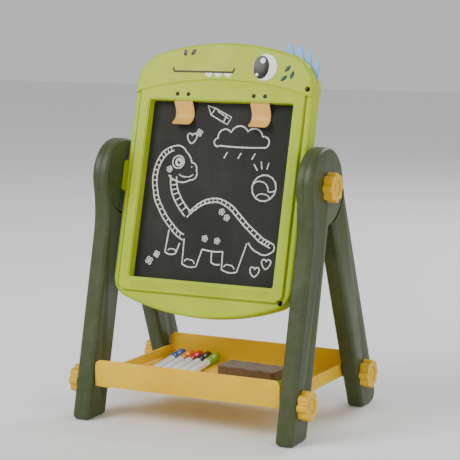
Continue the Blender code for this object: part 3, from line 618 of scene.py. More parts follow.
def board_sheet(name, inset, low, high):
    half = HALF_WIDTH - inset
    strokes = head_strokes()
    strokes += [("line", (-half, low_v)), ("arc", (-low_u, low_v), low_turn, 10)]
    strokes += [("arc", smile_centre, 180 - 2 * low_turn, 28), ("arc", (low_u, low_v), low_turn, 10)]
    strokes += [("line", (half, corner_v))]
    return cut_sheet(name, (half, corner_v), strokes, low, high)


def pad_sheet(name, inset, low, high):
    half, bottom = HALF_WIDTH - inset, PAD_BOTTOM + inset
    corner_left = (-half + PAD_CORNER, bottom + PAD_CORNER)
    corner_right = (half - PAD_CORNER, bottom + PAD_CORNER)
    strokes = head_strokes()
    strokes += [("line", (-half, bottom + PAD_CORNER)), ("arc", corner_left, 90, 6)]
    strokes += [("line", (half - PAD_CORNER, bottom)), ("arc", corner_right, 90, 6)]
    strokes += [("line", (half, corner_v))]
    return cut_sheet(name, (half, corner_v), strokes, low, high)

# %% the shell's flank, groove and pad
shell = board_sheet("front_shell_look", 0, SPLIT, RIM)
round_rim(shell, RIM, 4 * MM, 6)
carve(shell, pad_sheet("groove", 7.4 * MM, RIM - 1.2 * MM, 25 * MM))
pad = pad_sheet("pad", 9.6 * MM, 6 * MM, FACE)
round_rim(pad, FACE, 1.6 * MM, 4)
join_on(shell, pad)
print("shell blank", len(shell.data.polygons), "faces")

# %% the head, rounded right out to the outline, above a shallow arc
ARC_RADIUS = 448 * MM
arc_centre = Vector((0, 129.5 * MM - ARC_RADIUS))
half = HALF_WIDTH - 0.5 * MM
arc_end = arc_centre.y + math.sqrt(ARC_RADIUS**2 - half**2)
arc_turn = math.degrees(2 * math.asin(half / ARC_RADIUS))
strokes = head_strokes()
strokes += [("line", (-half, arc_end)), ("arc", arc_centre, -arc_turn, 24), ("line", (half, corner_v))]
head = cut_sheet("head", (half, corner_v), strokes, 4 * MM, FACE)
points = head.data.vertices


def on_dome_rim(edge):
    at_face = all(abs(points[i].co.z - FACE) < 1e-6 for i in edge.vertices)
    ends = [(points[i].co.xy - arc_centre).length for i in edge.vertices]
    return at_face and max(ends) > ARC_RADIUS + 0.1 * MM


choose(head, "EDGE", on_dome_rim)
bpy.ops.mesh.bevel(offset=5.5 * MM, segments=8, profile=0.5, affect="EDGES")
bpy.ops.object.mode_set(mode="OBJECT")
join_on(shell, head)
print("head", len(shell.data.polygons), "faces")

# %% the opening, with its softly rounded lip
OPENING = (-104.2 * MM, -133.5 * MM, 104.2 * MM, 102.1 * MM)


def window(name, margin, low, high, corner):
    left, bottom = OPENING[0] - margin, OPENING[1] - margin
    right, top = OPENING[2] + margin, OPENING[3] + margin
    strokes = [("arc", (right - corner, top - corner), 90, 5), ("line", (left + corner, top))]
    strokes += [("arc", (left + corner, top - corner), 90, 5), ("line", (left, bottom + corner))]
    strokes += [("arc", (left + corner, bottom + corner), 90, 5), ("line", (right - corner, bottom))]
    strokes += [("arc", (right - corner, bottom + corner), 90, 5), ("line", (right, top - corner))]
    return cut_sheet(name, (right, top - corner), strokes, low, high)


carve(shell, window("opening", 0, -5 * MM, 25 * MM, 3 * MM))
carve(shell, window("lip", 1.6 * MM, FACE - 1.0 * MM, 25 * MM, 4.6 * MM))
carve(shell, window("panel_seat", 7.3 * MM, -5 * MM, 1.6 * MM, 8 * MM))
print("opened", len(shell.data.polygons), "faces")

# %% [markdown]
# ### Grooves, wells and bosses
# A shallow arc runs across the head and sets the face off from the clip strip. A row of short grooves under
# the opening gives fingers a grip. Each joint screw sits at the bottom of a well, each clip passes through a
# slot in the top wall of the opening, and a round boss on each side carries the pivot. A bump pattern could
# stand for the grooves, but they would vanish from the side, so all of these are cut or joined. It is done
# while the shell lies flat, because the tools are then plain rods and blocks.

# %% the arc across the head, and the finger grips
put_down_all()
bpy.ops.mesh.primitive_torus_add(
    location=(*arc_centre, FACE), major_radius=ARC_RADIUS, minor_radius=1.1 * MM,
    major_segments=360, minor_segments=10,
)
carve(shell, bpy.context.active_object)
GRIPS, GRIP_PITCH = 54, 3.7 * MM
grips = []
for step in range(GRIPS):
    across = (step - (GRIPS - 1) / 2) * GRIP_PITCH
    grips.append(rod("grip", (across, -142.8 * MM, FACE + 0.5 * MM), 1.2 * MM, 9.5 * MM, "Y", 12))
put_down_all()
for grip in grips:
    grip.select_set(True)
bpy.context.view_layer.objects.active = grips[0]
bpy.ops.object.join()
carve(shell, bpy.context.active_object)
print(len(grips), "grips cut")

# %% the wells for the screws, and the slots for the clips
for u, v in SHELL_SCREWS.values():
    carve(shell, rod("well", (u * MM, v * MM, 12 * MM), 3.7 * MM, 14 * MM, "Z", 32))
CLIP_HALF_WIDTH = 14.1 * MM
for centre in CLIP_CENTRES.values():
    low = (centre * MM - CLIP_HALF_WIDTH, 99 * MM, 8 * MM)
    carve(shell, block("slot", low, (centre * MM + CLIP_HALF_WIDTH, 117 * MM, 13.7 * MM)))
    for way in CLIP_SCREWS.values():
        spot = ((centre + way) * MM, CLIP_SCREW_HEIGHT * MM)
        carve(shell, rod("sink", (*spot, 18 * MM), 2.9 * MM, 7.6 * MM, "Z", 24))
        carve(shell, rod("hole", (*spot, 14 * MM), 1.8 * MM, 10 * MM, "Z", 16))
print("wells and slots", len(shell.data.polygons), "faces")

# %% the bosses of the pivot
for side in (-1, 1):
    boss = rod("boss", (side * 125.8 * MM, 0, 0), 22 * MM, 15.6 * MM, "X", 72)
    soften(boss, 1.0 * MM, 3)
    carve(boss, block("below", (-1, -1, -1), (1, 1, SPLIT)))
    carve(boss, block("above", (-1, -1, 11 * MM), (1, 1, 1)))
    join_on(shell, boss)
    carve(shell, rod("insert_seat", (side * 124 * MM, 0, 0), 5.8 * MM, 30 * MM, "X", 24))
print("shell details", len(shell.data.polygons), "faces")

# %% [markdown]
# ### The slot for the crest
# The crest's root is clamped between the shells, so each shell is cut back along one shoulder. The cut could
# be made before the copy, but in the rear shell, which is turned round, it would come out on the other
# shoulder. So the crest's slot is cut after the copy is made and turned.

# %% copy the shell for the back
soften(shell, 0.35 * MM, 2, 50)
rear = settle(copy_of(shell, "rear_shell_look"), HALF_TURN)
print("rear shell", len(rear.data.polygons), "faces")

# %% cut the crest's slot in both shells
def shoulder(u, depth):
    """A point across at u and this far inside the board's top edge."""
    if u < corner_u * DOME_RADIUS / (DOME_RADIUS - DOME_CORNER):
        return (u, dome_centre.y + math.sqrt((DOME_RADIUS - depth) ** 2 - u**2))
    reach = max(0.0, (DOME_CORNER - depth) ** 2 - (u - corner_u) ** 2)
    return (u, corner_v + math.sqrt(reach))


def crest_slot():
    outer = [shoulder(u * MM, -3 * MM) for u in (71.5, 80, 90, 100, 108, 115, 121, 125.5)]
    inner = [shoulder(u * MM, 9 * MM) for u in (116, 108, 100, 90, 80, 71.5)]
    points = outer + [(131.5 * MM, 132 * MM), (118.5 * MM, 132 * MM)] + inner
    strokes = [("line", point) for point in points[1:] + points[:1]]
    return cut_sheet("crest_slot", points[0], strokes, -1.8 * MM, 1.8 * MM)


carve(shell, crest_slot())
carve(rear, crest_slot())
settle(shell, BOARD)
settle(rear, BOARD)
hand_over(shell, "board", frame_lime, "frame", "front_shell")
hand_over(rear, "board", frame_lime, "frame", "rear_shell")
print("two shells", len(shell.data.polygons), "faces each")

# %% [markdown]
# ## The crest of spikes
# Four soft spikes stand on one shoulder, each like a leaf: its outer flank bows and its other flank is
# steeper. They are one moulding with the root between the shells. Four cones would be quicker, but the real
# crest is flat and of one thickness. So the sheet is drawn flat, thickened evenly about the split and rounded
# on both rims.

# %% draw and round the crest
# each spike: where its root starts, its tip, and where its root ends, in millimetres
SPIKES = (
    (74, (84, 184), 91.5),
    (91.5, (98.5, 181), 105.5),
    (105.5, (112.5, 173), 116.5),
    (116.5, (126, 162), 126),
)
start = shoulder(SPIKES[0][0] * MM, 2 * MM)
strokes = []
for root, tip, end in SPIKES:
    foot = Vector(shoulder(root * MM, 2 * MM))
    after = Vector(shoulder(end * MM, 2 * MM) if end < 126 else (127 * MM, 134 * MM))
    tip = Vector(tip) * MM
    apex = tip + (tip - (foot + after) / 2).normalized() * 2 * MM
    rising = apex - (apex - foot).normalized() * 3 * MM
    falling = apex + (after - apex).normalized() * 3 * MM
    strokes.append(bow(foot, rising, -1.6 * MM, 6))
    strokes.append(bow(rising, falling, -0.75 * MM, 4))
    strokes.append(bow(falling, after, -0.9 * MM, 6))
strokes.append(("line", shoulder(HALF_WIDTH - 9 * MM, 7 * MM)))
for u in (112, 104, 92, 76):
    strokes.append(("line", shoulder(u * MM, 7 * MM)))
strokes.append(("line", start))
crest = cut_sheet("crest_look", start, strokes, -1.5 * MM, 1.5 * MM)
round_rim(crest, 1.5 * MM, 0.5 * MM, 3)
round_rim(crest, -1.5 * MM, 0.5 * MM, 3)
settle(crest, BOARD)
hand_over(crest, "board", crest_blue, "crest", "crest")
print("crest", len(crest.data.polygons), "faces")

# %% [markdown]
# ## The face on the head
# A friendly animal's face: two nostrils, a level mouth with its ends turned up, three teeth, one big eye and
# three leaf-shaped marks. Each is a thin moulded or printed inlay about half a millimetre proud of the pad.
# The colours could be painted on the shell's own faces, but their edges would follow its mesh and not the
# drawing. So each is a piece of its own, drawn as a closed outline and pillowed by its rounded rim.

# %% a thin inlay from any outline
def inlay(name, start, strokes, height, material):
    piece = cut_sheet(name, start, strokes, FACE - 0.4 * MM, FACE + height)
    round_rim(piece, FACE + height, height * 0.6, 2)
    settle(piece, BOARD)
    hand_over(piece, "board", material, "frame")


def oval(name, centre, half_u, half_v, height, material, level=FACE, tilt=0.0):
    put_down_all()
    bpy.ops.mesh.primitive_cylinder_add(vertices=56, radius=1, depth=1)
    piece = bpy.context.active_object
    piece.name = name
    piece.scale = (half_u * MM, half_v * MM, height + 0.4 * MM)
    bpy.ops.object.transform_apply(location=True, rotation=True, scale=True)
    turned = Matrix.Rotation(math.radians(tilt), 4, "Z")
    middle = level - 0.4 * MM + (height + 0.4 * MM) / 2
    soften(piece, height * 0.7, 3)
    settle(piece, BOARD @ Matrix.Translation((centre[0] * MM, centre[1] * MM, middle)) @ turned)
    hand_over(piece, "board", material, "frame")


print("inlays start", round(FACE / MM, 1), "mm out of the split")

# %% the eye, the nostrils and the marks
oval("eye_white", (59, 147.5), 17, 17.5, 0.8 * MM, eye_white)
oval("eye_pupil", (53.8, 147.5), 11, 15.3, 0.5 * MM, pupil_brown, FACE + 0.8 * MM)
oval("eye_light_large", (55.5, 156), 3.6, 3.6, 0.3 * MM, eye_white, FACE + 1.3 * MM)
oval("eye_light_small", (49, 137.5), 2.1, 2.1, 0.3 * MM, eye_white, FACE + 1.3 * MM)
oval("nostril_left", (-59, 165), 2.6, 4.2, 0.35 * MM, pupil_brown, FACE, 4)
oval("nostril_right", (-47, 166), 2.6, 4.6, 0.35 * MM, pupil_brown, FACE, -35)
for number, (u, v, tilt) in enumerate(((91, 146.5, -40), (98, 138.5, -18), (87, 134, -50))):
    root = Matrix.Rotation(math.radians(tilt), 2) @ Vector((0, -5.8 * MM)) + Vector((u, v)) * MM
    tip = Matrix.Rotation(math.radians(tilt), 2) @ Vector((0, 5.8 * MM)) + Vector((u, v)) * MM
    leaf = [bow(root, tip, 2.6 * MM, 8), bow(tip, root, 2.6 * MM, 8)]
    inlay("leaf_mark_%d" % number, root, leaf, 0.35 * MM, mark_teal)
print("eye, nostrils and", number + 1, "marks")

# %% the mouth and the teeth
left, right, level, thick = -74 * MM, 15 * MM, 140 * MM, 1.3 * MM
smile = level + 4.5 * MM
mouth = [
    bow((left - thick, smile), (left - thick + 3 * MM, level - thick), 0.9 * MM, 6),
    ("line", (right + thick - 3 * MM, level - thick)),
    bow((right + thick - 3 * MM, level - thick), (right + thick, smile), 0.9 * MM, 6),
    bow((right + thick, smile), (right - thick, smile), thick * 0.98, 6),
    bow((right - thick, smile), (right - thick - 2 * MM, level + thick), -0.7 * MM, 5),
    ("line", (left + thick + 2 * MM, level + thick)),
    bow((left + thick + 2 * MM, level + thick), (left + thick, smile), -0.7 * MM, 5),
    bow((left + thick, smile), (left - thick, smile), thick * 0.98, 6),
]
inlay("mouth_line", (left - thick, smile), mouth, 0.35 * MM, mouth_olive)
for number, centre in enumerate((-21, -7, 7)):
    a, b = (centre * MM - 5.6 * MM, level - thick), (centre * MM + 5.6 * MM, level - thick)
    inlay("tooth_%d" % number, a, [bow(a, b, 5.2 * MM, 14), ("line", a)], 0.5 * MM, eye_white)
print("face in place")

# %% [markdown]
# ## The sheets, and the chalk drawing
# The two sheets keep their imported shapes: they are flat, and only their finish shows. The chalk drawing is a
# child's: a long-necked animal with a striped back, hearts, flowers, a pencil, a ball and a cloud. It could
# be part of the board's colour, but real chalk stands a little proud and catches light. So each line is drawn
# with the same pencil as the outlines, turned into a thin round bead and pressed flat on the board.

# %% finish the two sheets
frame["nodes"]["chalkboard_panel"].data.materials.clear()
frame["nodes"]["chalkboard_panel"].data.materials.append(board_black)
frame["nodes"]["whiteboard_panel"].data.materials.clear()
frame["nodes"]["whiteboard_panel"].data.materials.append(sheet_white)
print("both sheets finished")

# %% a chalk line
CHALK_LEVEL = 1.36 * MM
chalk_lines = []


def chalk(points, width=1.9):
    """Draws straight and bowed lines through (u, v) or (u, v, bulge) points, in millimetres."""
    start = (points[0][0] * MM, points[0][1] * MM)
    strokes = []
    here = start
    for point in points[1:]:
        end = (point[0] * MM, point[1] * MM)
        bulge = point[2] * MM if len(point) > 2 else 0
        strokes.append(bow(here, end, bulge, 7) if bulge else ("line", end))
        here = end
    line = trace("chalk_line", start, strokes)
    pick_up(line)
    bpy.ops.object.convert(target="CURVE")
    line = bpy.context.active_object
    line.data.bevel_depth = width / 2 * MM
    line.data.bevel_resolution = 1
    line.data.use_fill_caps = True
    bpy.ops.object.convert(target="MESH")
    line = bpy.context.active_object
    line.scale = (1, 1, 0.18)
    bpy.ops.object.transform_apply(location=True, rotation=True, scale=True)
    chalk_lines.append(line)


def chalk_round(u, v, radius, width):
    chalk([(u + radius, v), (u - radius, v, radius * 0.999), (u + radius, v, radius * 0.999)], width)


print("chalk lies", round(CHALK_LEVEL / MM, 2), "mm out of the split")

# %% the long-necked animal: its neck
def ladder(outer, inner, count):
    """Short strokes between two lines of points, like the plates along a back."""
    for step in range(1, count):
        share = step / count * (len(outer) - 1)
        index = min(int(share), len(outer) - 2)
        part = share - index
        a = Vector(outer[index]).lerp(Vector(outer[index + 1]), part)
        b = Vector(inner[index]).lerp(Vector(inner[index + 1]), part)
        chalk([tuple(a), tuple(b)], 1.5)


back_of_neck = [(-66, 43), (-84, 33), (-93, 8), (-90, -18), (-80, -40), (-58, -66), (-38, -80)]
inside_neck = [(-66, 37), (-79, 28), (-87, 8), (-84, -17), (-74, -38), (-54, -61), (-37, -73)]
chalk([back_of_neck[0]] + [(u, v, 1.6) for u, v in back_of_neck[1:]])
chalk([inside_neck[0]] + [(u, v, 1.4) for u, v in inside_neck[1:]])
ladder(back_of_neck, inside_neck, 22)
throat_outer = [(-58, 3), (-52, -18), (-33, -41)]
throat_inner = [(-67, 4), (-61, -22), (-39, -49)]
chalk([throat_outer[0]] + [(u, v, 1.5) for u, v in throat_outer[1:]])
chalk([throat_inner[0]] + [(u, v, 1.5) for u, v in throat_inner[1:]])
ladder(throat_outer, throat_inner, 8)
print(len(chalk_lines), "chalk lines so far")

# %% its back and tail, and its head
back = [(-34, -44), (-14, -27), (8, -23), (32, -34), (54, -54), (76, -70), (92, -77)]
under_back = [(-36, -50), (-14, -32), (8, -28), (29, -39), (50, -58), (72, -75), (88, -82)]
chalk([back[0]] + [(u, v, -1.4) for u, v in back[1:4]] + [(u, v) for u, v in back[4:]])
chalk([under_back[0]] + [(u, v, -1.4) for u, v in under_back[1:4]] + [(u, v) for u, v in under_back[4:]])
ladder(back, under_back, 22)
chalk([(92, -77), (90, -88, -3), (72, -89, -3), (57, -77, -2)])
chalk([
    (-66, 43), (-48, 36, -3.5), (-38, 22, -1.5), (-30, 12, -3), (-38, -1, -5), (-58, -3, -2.5), (-70, 4, -1),
])
chalk([(-55, 6), (-44, 3, 1.2), (-34, 7, 1.5)], 1.5)
chalk_round(-58, 22, 8.5, 1.8)
chalk_round(-57, 22, 4.2, 3.2)
chalk_round(-55.4, 24.5, 1.2, 2.2)
chalk([(-38, 17), (-37, 16)], 1.8)
print(len(chalk_lines), "chalk lines so far")

# %% its body, legs and spots
chalk([(-60, -68), (-62, -97), (-46, -98, 2.5), (-42, -84)])
chalk([(-36, -78), (-35, -111), (-14, -113, 2.5), (-8, -90)])
chalk([(-8, -90), (22, -91, 1.5)])
chalk([(22, -91), (23, -114), (45, -116, 2.5), (55, -78)])
chalk([(6, -92), (7, -106), (20, -108, 1.5)])
chalk([(-58, -95), (-52, -93, -1.5), (-46, -96, -1.5)], 1.5)
chalk([(-32, -108), (-25, -105, -2), (-17, -110, -2)], 1.5)
chalk([(26, -111), (33, -108, -2), (41, -113, -2)], 1.5)
for u, v in ((-70, 12), (14, -40), (22, -47), (-6, -76), (12, -78)):
    for petal in range(5):
        angle = math.radians(72 * petal)
        chalk_round(u + 2.6 * math.cos(angle), v + 2.6 * math.sin(angle), 1.5, 1.2)
print(len(chalk_lines), "chalk lines so far")

# %% the pencil, the hearts and the flowers
def heart(u, v, size):
    dip = (u, v + 0.45 * size)
    chalk([dip, (u - size, v + 0.35 * size, 0.55 * size), (u, v - size, 0.2 * size)], 1.8)
    chalk([dip, (u + size, v + 0.35 * size, -0.55 * size), (u, v - size, -0.2 * size)], 1.8)


def flower(u, v, size):
    for petal in range(4):
        angle = math.radians(90 * petal + 20)
        chalk_round(u + size * math.cos(angle), v + size * math.sin(angle), size * 0.6, 1.4)


chalk([(-24, 98), (-13, 95), (12, 84), (7, 74), (-18, 86), (-24, 98)], 1.8)
chalk([(-13, 95), (-18, 86)], 1.5)
chalk([(-9, 91), (8, 82)], 1.3)
chalk([(5, 87), (1, 77)], 1.5)
heart(-42, 54, 7)
heart(70, -114, 6.5)
heart(85, -103, 6.5)
flower(-32, 62, 2.9)
flower(-84, -110, 3.2)
flower(-74, -101, 2.7)
print(len(chalk_lines), "chalk lines so far")

# %% the ball and the cloud
chalk_round(70, -6, 17, 2.0)
chalk([(54, -2), (66, 2, -2), (76, -10, -3), (86, -8, 1.5)], 1.6)
chalk([(60, -18), (70, -14, -2), (80, -20, -2)], 1.6)
chalk([(58, 16), (52, 24)], 1.6)
chalk([(64, 18), (62, 28)], 1.6)
chalk([(71, 18), (73, 27)], 1.6)
chalk([(0, 46), (-4, 56, -7), (14, 64, -8), (38, 66, -8), (60, 60, -7), (66, 46, -7), (0, 46, -1)], 2.0)
chalk([(12, 38), (8, 30)], 1.8)
chalk([(32, 38), (28, 30)], 1.8)
chalk([(52, 38), (48, 30)], 1.8)
print(len(chalk_lines), "chalk lines in all")

# %% join the lines and press them on the board
put_down_all()
for line in chalk_lines:
    line.select_set(True)
bpy.context.view_layer.objects.active = chalk_lines[0]
bpy.ops.object.join()
drawing = bpy.context.active_object
drawing.name = "chalk_drawing"
settle(drawing, BOARD @ Matrix.Translation((0, 0, CHALK_LEVEL)))
hand_over(drawing, "board", chalk_white, "chalkboard")
print("chalk drawing", len(drawing.data.polygons), "faces")

# %% [markdown]
# ## The side frames
# Each side is two legs, lapped like a scissors joint at the head, with their outer faces level. A leg is a
# round head that runs into a straight shank, with a generous radius where they meet, and its rims are well
# rounded. A disc joined to a bar would leave a sharp notch between them, so the leg is drawn as one outline
# in its own plane: outwards from the pivot, and up.

# %% the leg's measures
LEG_INNER, LEG_OUTER, HEAD = 134.5 * MM, 158.1 * MM, 50 * MM
LAP, LAP_GAP = (LEG_INNER + LEG_OUTER) / 2, 0.15 * MM
BLEND = 150 * MM
# lean in degrees, width outside and inside the middle line, radius of the toe, and way from the pivot
LEG_MEASURES = {
    "front": (13.5, 31.5 * MM, 15.6 * MM, 6 * MM, -1),
    "rear": (21.9, 45.5 * MM, 1.6 * MM, 14 * MM, 1),
}
print("legs", round((LEG_OUTER - LEG_INNER) / MM, 1), "mm thick")

# %% the outline of a leg
def leg_sheet(name, lean, outer, inner, toe):
    """A leg lying flat, its pivot at the origin."""
    lean = math.radians(lean)
    outward = Vector((math.cos(lean), math.sin(lean)))
    down = Vector((math.sin(lean), -math.cos(lean)))
    floor = -PIVOT.z

    def on_floor(out):
        return Vector(((out - floor * math.sin(lean)) / math.cos(lean), floor))

    corner, inner_corner = on_floor(outer), on_floor(-inner)
    turn = math.acos((-down).dot(Vector((-1, 0))))
    reach = toe / math.tan(turn / 2)
    blend_down = math.sqrt((HEAD + BLEND) ** 2 - (outer + BLEND) ** 2)
    centre = outward * (outer + BLEND) + down * blend_down
    on_shank = outward * outer + down * blend_down
    touch = centre.normalized() * HEAD
    first, last = on_shank - centre, touch - centre
    blend_turn = -math.degrees(first.angle_signed(last))
    on_inner = -outward * inner + down * math.sqrt(HEAD**2 - inner**2)
    head_turn = math.degrees(math.atan2(on_inner.y, on_inner.x) - math.atan2(touch.y, touch.x)) % 360
    toe_start = corner + Vector((-reach, 0))
    toe_end = corner - down * reach
    strokes = [bow(toe_start, toe_end, toe * (1 - math.cos((math.pi - turn) / 2)), 8)]
    strokes += [("line", on_shank), ("arc", centre, blend_turn, 14), ("arc", (0, 0), head_turn, 60)]
    inner_up = inner_corner - down * 3 * MM
    strokes += [("line", inner_up), bow(inner_up, inner_corner + Vector((3 * MM, 0)), 0.6 * MM, 4)]
    strokes += [("line", toe_start)]
    return cut_sheet(name, toe_start, strokes, LEG_INNER, LEG_OUTER)

# %% cut, round and lap the four legs
for end, (lean, outer, inner, toe, way) in LEG_MEASURES.items():
    leg = leg_sheet(end + "_leg_right_look", lean, outer, inner, toe)
    round_rim(leg, LEG_OUTER, 5 * MM, 6)
    round_rim(leg, LEG_INNER, 5 * MM, 6)
    if end == "front":
        bolt, low, high = FRONT_BOLT, LEG_INNER - 2 * MM, LAP + LAP_GAP
    else:
        bolt, low, high = REAR_BOLT, LAP - LAP_GAP, LEG_OUTER + 2 * MM
    carve(leg, rod("lap", (0, 0, (low + high) / 2), HEAD + 0.3 * MM, high - low, "Z", 128))
    carve(leg, rod("pivot_hole", (0, 0, LAP), 3.6 * MM, 60 * MM, "Z", 24))
    carve(leg, rod("bolt_hole", (way * bolt, BOLT_HEIGHT - PIVOT.z, LAP), 3.6 * MM, 60 * MM, "Z", 24))
    soften(leg, 0.5 * MM, 2, 60)
    for side, label in ((1, "right"), (-1, "left")):
        twin = copy_of(leg, "%s_leg_%s_look" % (end, label))
        columns = Matrix((Vector((0, way, 0)), Vector((0, 0, 1)), Vector((side, 0, 0)))).transposed().to_4x4()
        settle(twin, Matrix.Translation(PIVOT) @ columns)
        hand_over(twin, "stand", legs_green, "leg", "%s_leg_%s" % (end, label))
    print(end, "legs", len(leg.data.polygons), "faces each")
    bpy.data.objects.remove(leg, do_unlink=True)

# %% [markdown]
# ## The hand screws
# Each knob has eight round lobes for small fingers, a shallow dish in its face and a softly rounded rim. A
# gear-like outline could be drawn, but its hollows would need as much care as its lobes. Eight short rods
# joined to a round core give both at once. One knob is made, and copied for the six screws.

# %% model one knob
KNOB_NEAR, KNOB_THICK = LEG_OUTER + 0.3 * MM, 12 * MM
middle = KNOB_NEAR + KNOB_THICK / 2
knob = rod("knob", (0, 0, middle), 16.2 * MM, KNOB_THICK, "Z", 64)
for lobe in range(8):
    angle = math.tau * lobe / 8
    spot = (13.6 * MM * math.cos(angle), 13.6 * MM * math.sin(angle), middle)
    join_on(knob, rod("lobe", spot, 5.45 * MM, KNOB_THICK, "Z", 24))
top = KNOB_NEAR + KNOB_THICK
carve(knob, rod("dish", (0, 0, top), 10.5 * MM, 2.4 * MM, "Z", 48))
join_on(knob, rod("hub", (0, 0, top - 3 * MM), 5.2 * MM, 5 * MM, "Z", 40))
carve(knob, rod("socket", (0, 0, KNOB_NEAR), 3.3 * MM, 16 * MM, "Z", 24))
soften(knob, 1.3 * MM, 4, 50)
print("knob", [round(value / MM, 1) for value in knob.dimensions], "mm")

# %% copy the knob to its six screws
hand_screws = {
    "pivot": (0.0, PIVOT.z),
    "tray_front": (FRONT_BOLT, BOLT_HEIGHT),
    "tray_rear": (REAR_BOLT, BOLT_HEIGHT),
}
for name, (out, height) in hand_screws.items():
    for side, label in ((-1, "left"), (1, "right")):
        twin = copy_of(knob, "%s_%s_knob_look" % (name, label))
        turn = Matrix((Vector((0, side, 0)), Vector((0, 0, 1)), Vector((side, 0, 0)))).transposed().to_4x4()
        settle(twin, Matrix.Translation((0, PIVOT.y + out, height)) @ turn)
        body = "%s_%s_knob" % (name, label)
        hand_over(twin, body, knob_yellow, "knob", body)
print("knobs", len(knob.data.polygons), "faces each")
bpy.data.objects.remove(knob, do_unlink=True)

# %% [markdown]
# ## The tray
# A one-piece moulding: high walls in front and behind with round top corners, low walls at the sides, and a
# flat floor. Five plates could be joined, but their seams would show at the corners. So it starts as one
# block, a smaller rounded block is carved out of it, the side walls are cut low, and ears and bosses are
# joined on for the screws.

# %% the open box of the tray
TRAY_HALF, TRAY_FRONT, TRAY_BACK = 132.9 * MM, -87.4 * MM, 117 * MM
TRAY_BOTTOM, TRAY_TOP, SIDE_TOP, WALL = 43.8 * MM, 78.1 * MM, 60.6 * MM, 3 * MM
tray = block("tray_look", (-TRAY_HALF, TRAY_FRONT, TRAY_BOTTOM), (TRAY_HALF, TRAY_BACK, TRAY_TOP))
points = tray.data.vertices
choose(tray, "EDGE", lambda edge: all(points[i].co.z > SIDE_TOP for i in edge.vertices)
       and length_along(points, edge, 1) > WALL)
bpy.ops.mesh.bevel(offset=8 * MM, segments=8, profile=0.5, affect="EDGES")
bpy.ops.object.mode_set(mode="OBJECT")
low = (-TRAY_HALF + WALL, TRAY_FRONT + WALL, TRAY_BOTTOM + WALL)
inner = block("hollow", low, (TRAY_HALF - WALL, TRAY_BACK - WALL, 0.1))
choose(inner, "EDGE", lambda edge: True)
bpy.ops.mesh.bevel(offset=2.5 * MM, segments=4, profile=0.5, affect="EDGES")
bpy.ops.object.mode_set(mode="OBJECT")
carve(tray, inner)
carve(tray, block("side_cut", (-0.2, TRAY_FRONT + WALL, SIDE_TOP), (0.2, TRAY_BACK - WALL, 0.1)))
print("open tray", len(tray.data.polygons), "faces")

# %% its ears and bosses
for side in (-1, 1):
    inside, outside = sorted((side * (TRAY_HALF - WALL), side * TRAY_HALF))
    ear = block("ear", (inside, TRAY_BACK - 12 * MM, TRAY_BOTTOM), (outside, 135 * MM, SIDE_TOP - 4 * MM))
    ends = ear.data.vertices
    choose(ear, "EDGE", lambda edge: all(ends[i].co.y > TRAY_BACK for i in edge.vertices)
           and length_along(ends, edge, 0) > 1 * MM)
    bpy.ops.mesh.bevel(offset=5.8 * MM, segments=6, profile=0.5, affect="EDGES")
    bpy.ops.object.mode_set(mode="OBJECT")
    join_on(tray, ear)
    for bolt in (FRONT_BOLT, REAR_BOLT):
        spot = (side * (TRAY_HALF - 7.5 * MM), bolt, BOLT_HEIGHT)
        join_on(tray, rod("boss", spot, 8.2 * MM, 13 * MM, "X", 40))
        spot = (side * (TRAY_HALF - 6.5 * MM), bolt, BOLT_HEIGHT)
        carve(tray, rod("seat", spot, 5.8 * MM, 24 * MM, "X", 32))
soften(tray, 0.7 * MM, 3, 50)
settle(tray, Matrix.Translation((0, PIVOT.y, 0)))
hand_over(tray, "stand", tray_yellow, "tray", "tray")
print("tray", len(tray.data.polygons), "faces")

# %% [markdown]
# ## The paper clips
# A clip is one moulded strip: a flat tab that is screwed behind the head's face, a leaf that dips to the
# sheet, and a lip that turns out for a finger. A flat strip could be bent with a modifier, but each bend
# would have to be found by trial. So its side view is drawn, extruded to its width and rounded.

# %% draw the clip from its side
CLIP_WIDTH, CLIP_THICK = 27 * MM, 1.6 * MM
CLIP_AXIS = (103.4 * MM, 11.7 * MM)
# the middle line of the strip from its tab to its lip, up the board and out of it, in millimetres
SIDE_VIEW = [
    (11.5, 0), (5, 0), (0, 0), (-4, -1.2), (-9, -5.2),
    (-15, -8.6), (-21, -9.1), (-26, -6.8), (-30, -2.2), (-32.5, 1.2),
]
path = [Vector((v * MM, w * MM)) for v, w in SIDE_VIEW]
upper, lower = [], []
for index, point in enumerate(path):
    way = (path[min(index + 1, len(path) - 1)] - path[max(index - 1, 0)]).normalized()
    normal = Vector((-way.y, way.x)) * CLIP_THICK / 2
    upper.append(point + normal)
    lower.append(point - normal)
loop = upper + lower[::-1]
clip = cut_sheet("clip", loop[0], [("line", p) for p in loop[1:] + loop[:1]], -CLIP_WIDTH / 2, CLIP_WIDTH / 2)
sideways = Matrix((Vector((0, 1, 0)), Vector((0, 0, 1)), Vector((1, 0, 0)))).transposed().to_4x4()
settle(clip, sideways)
print("clip", [round(value / MM, 1) for value in clip.dimensions], "mm")

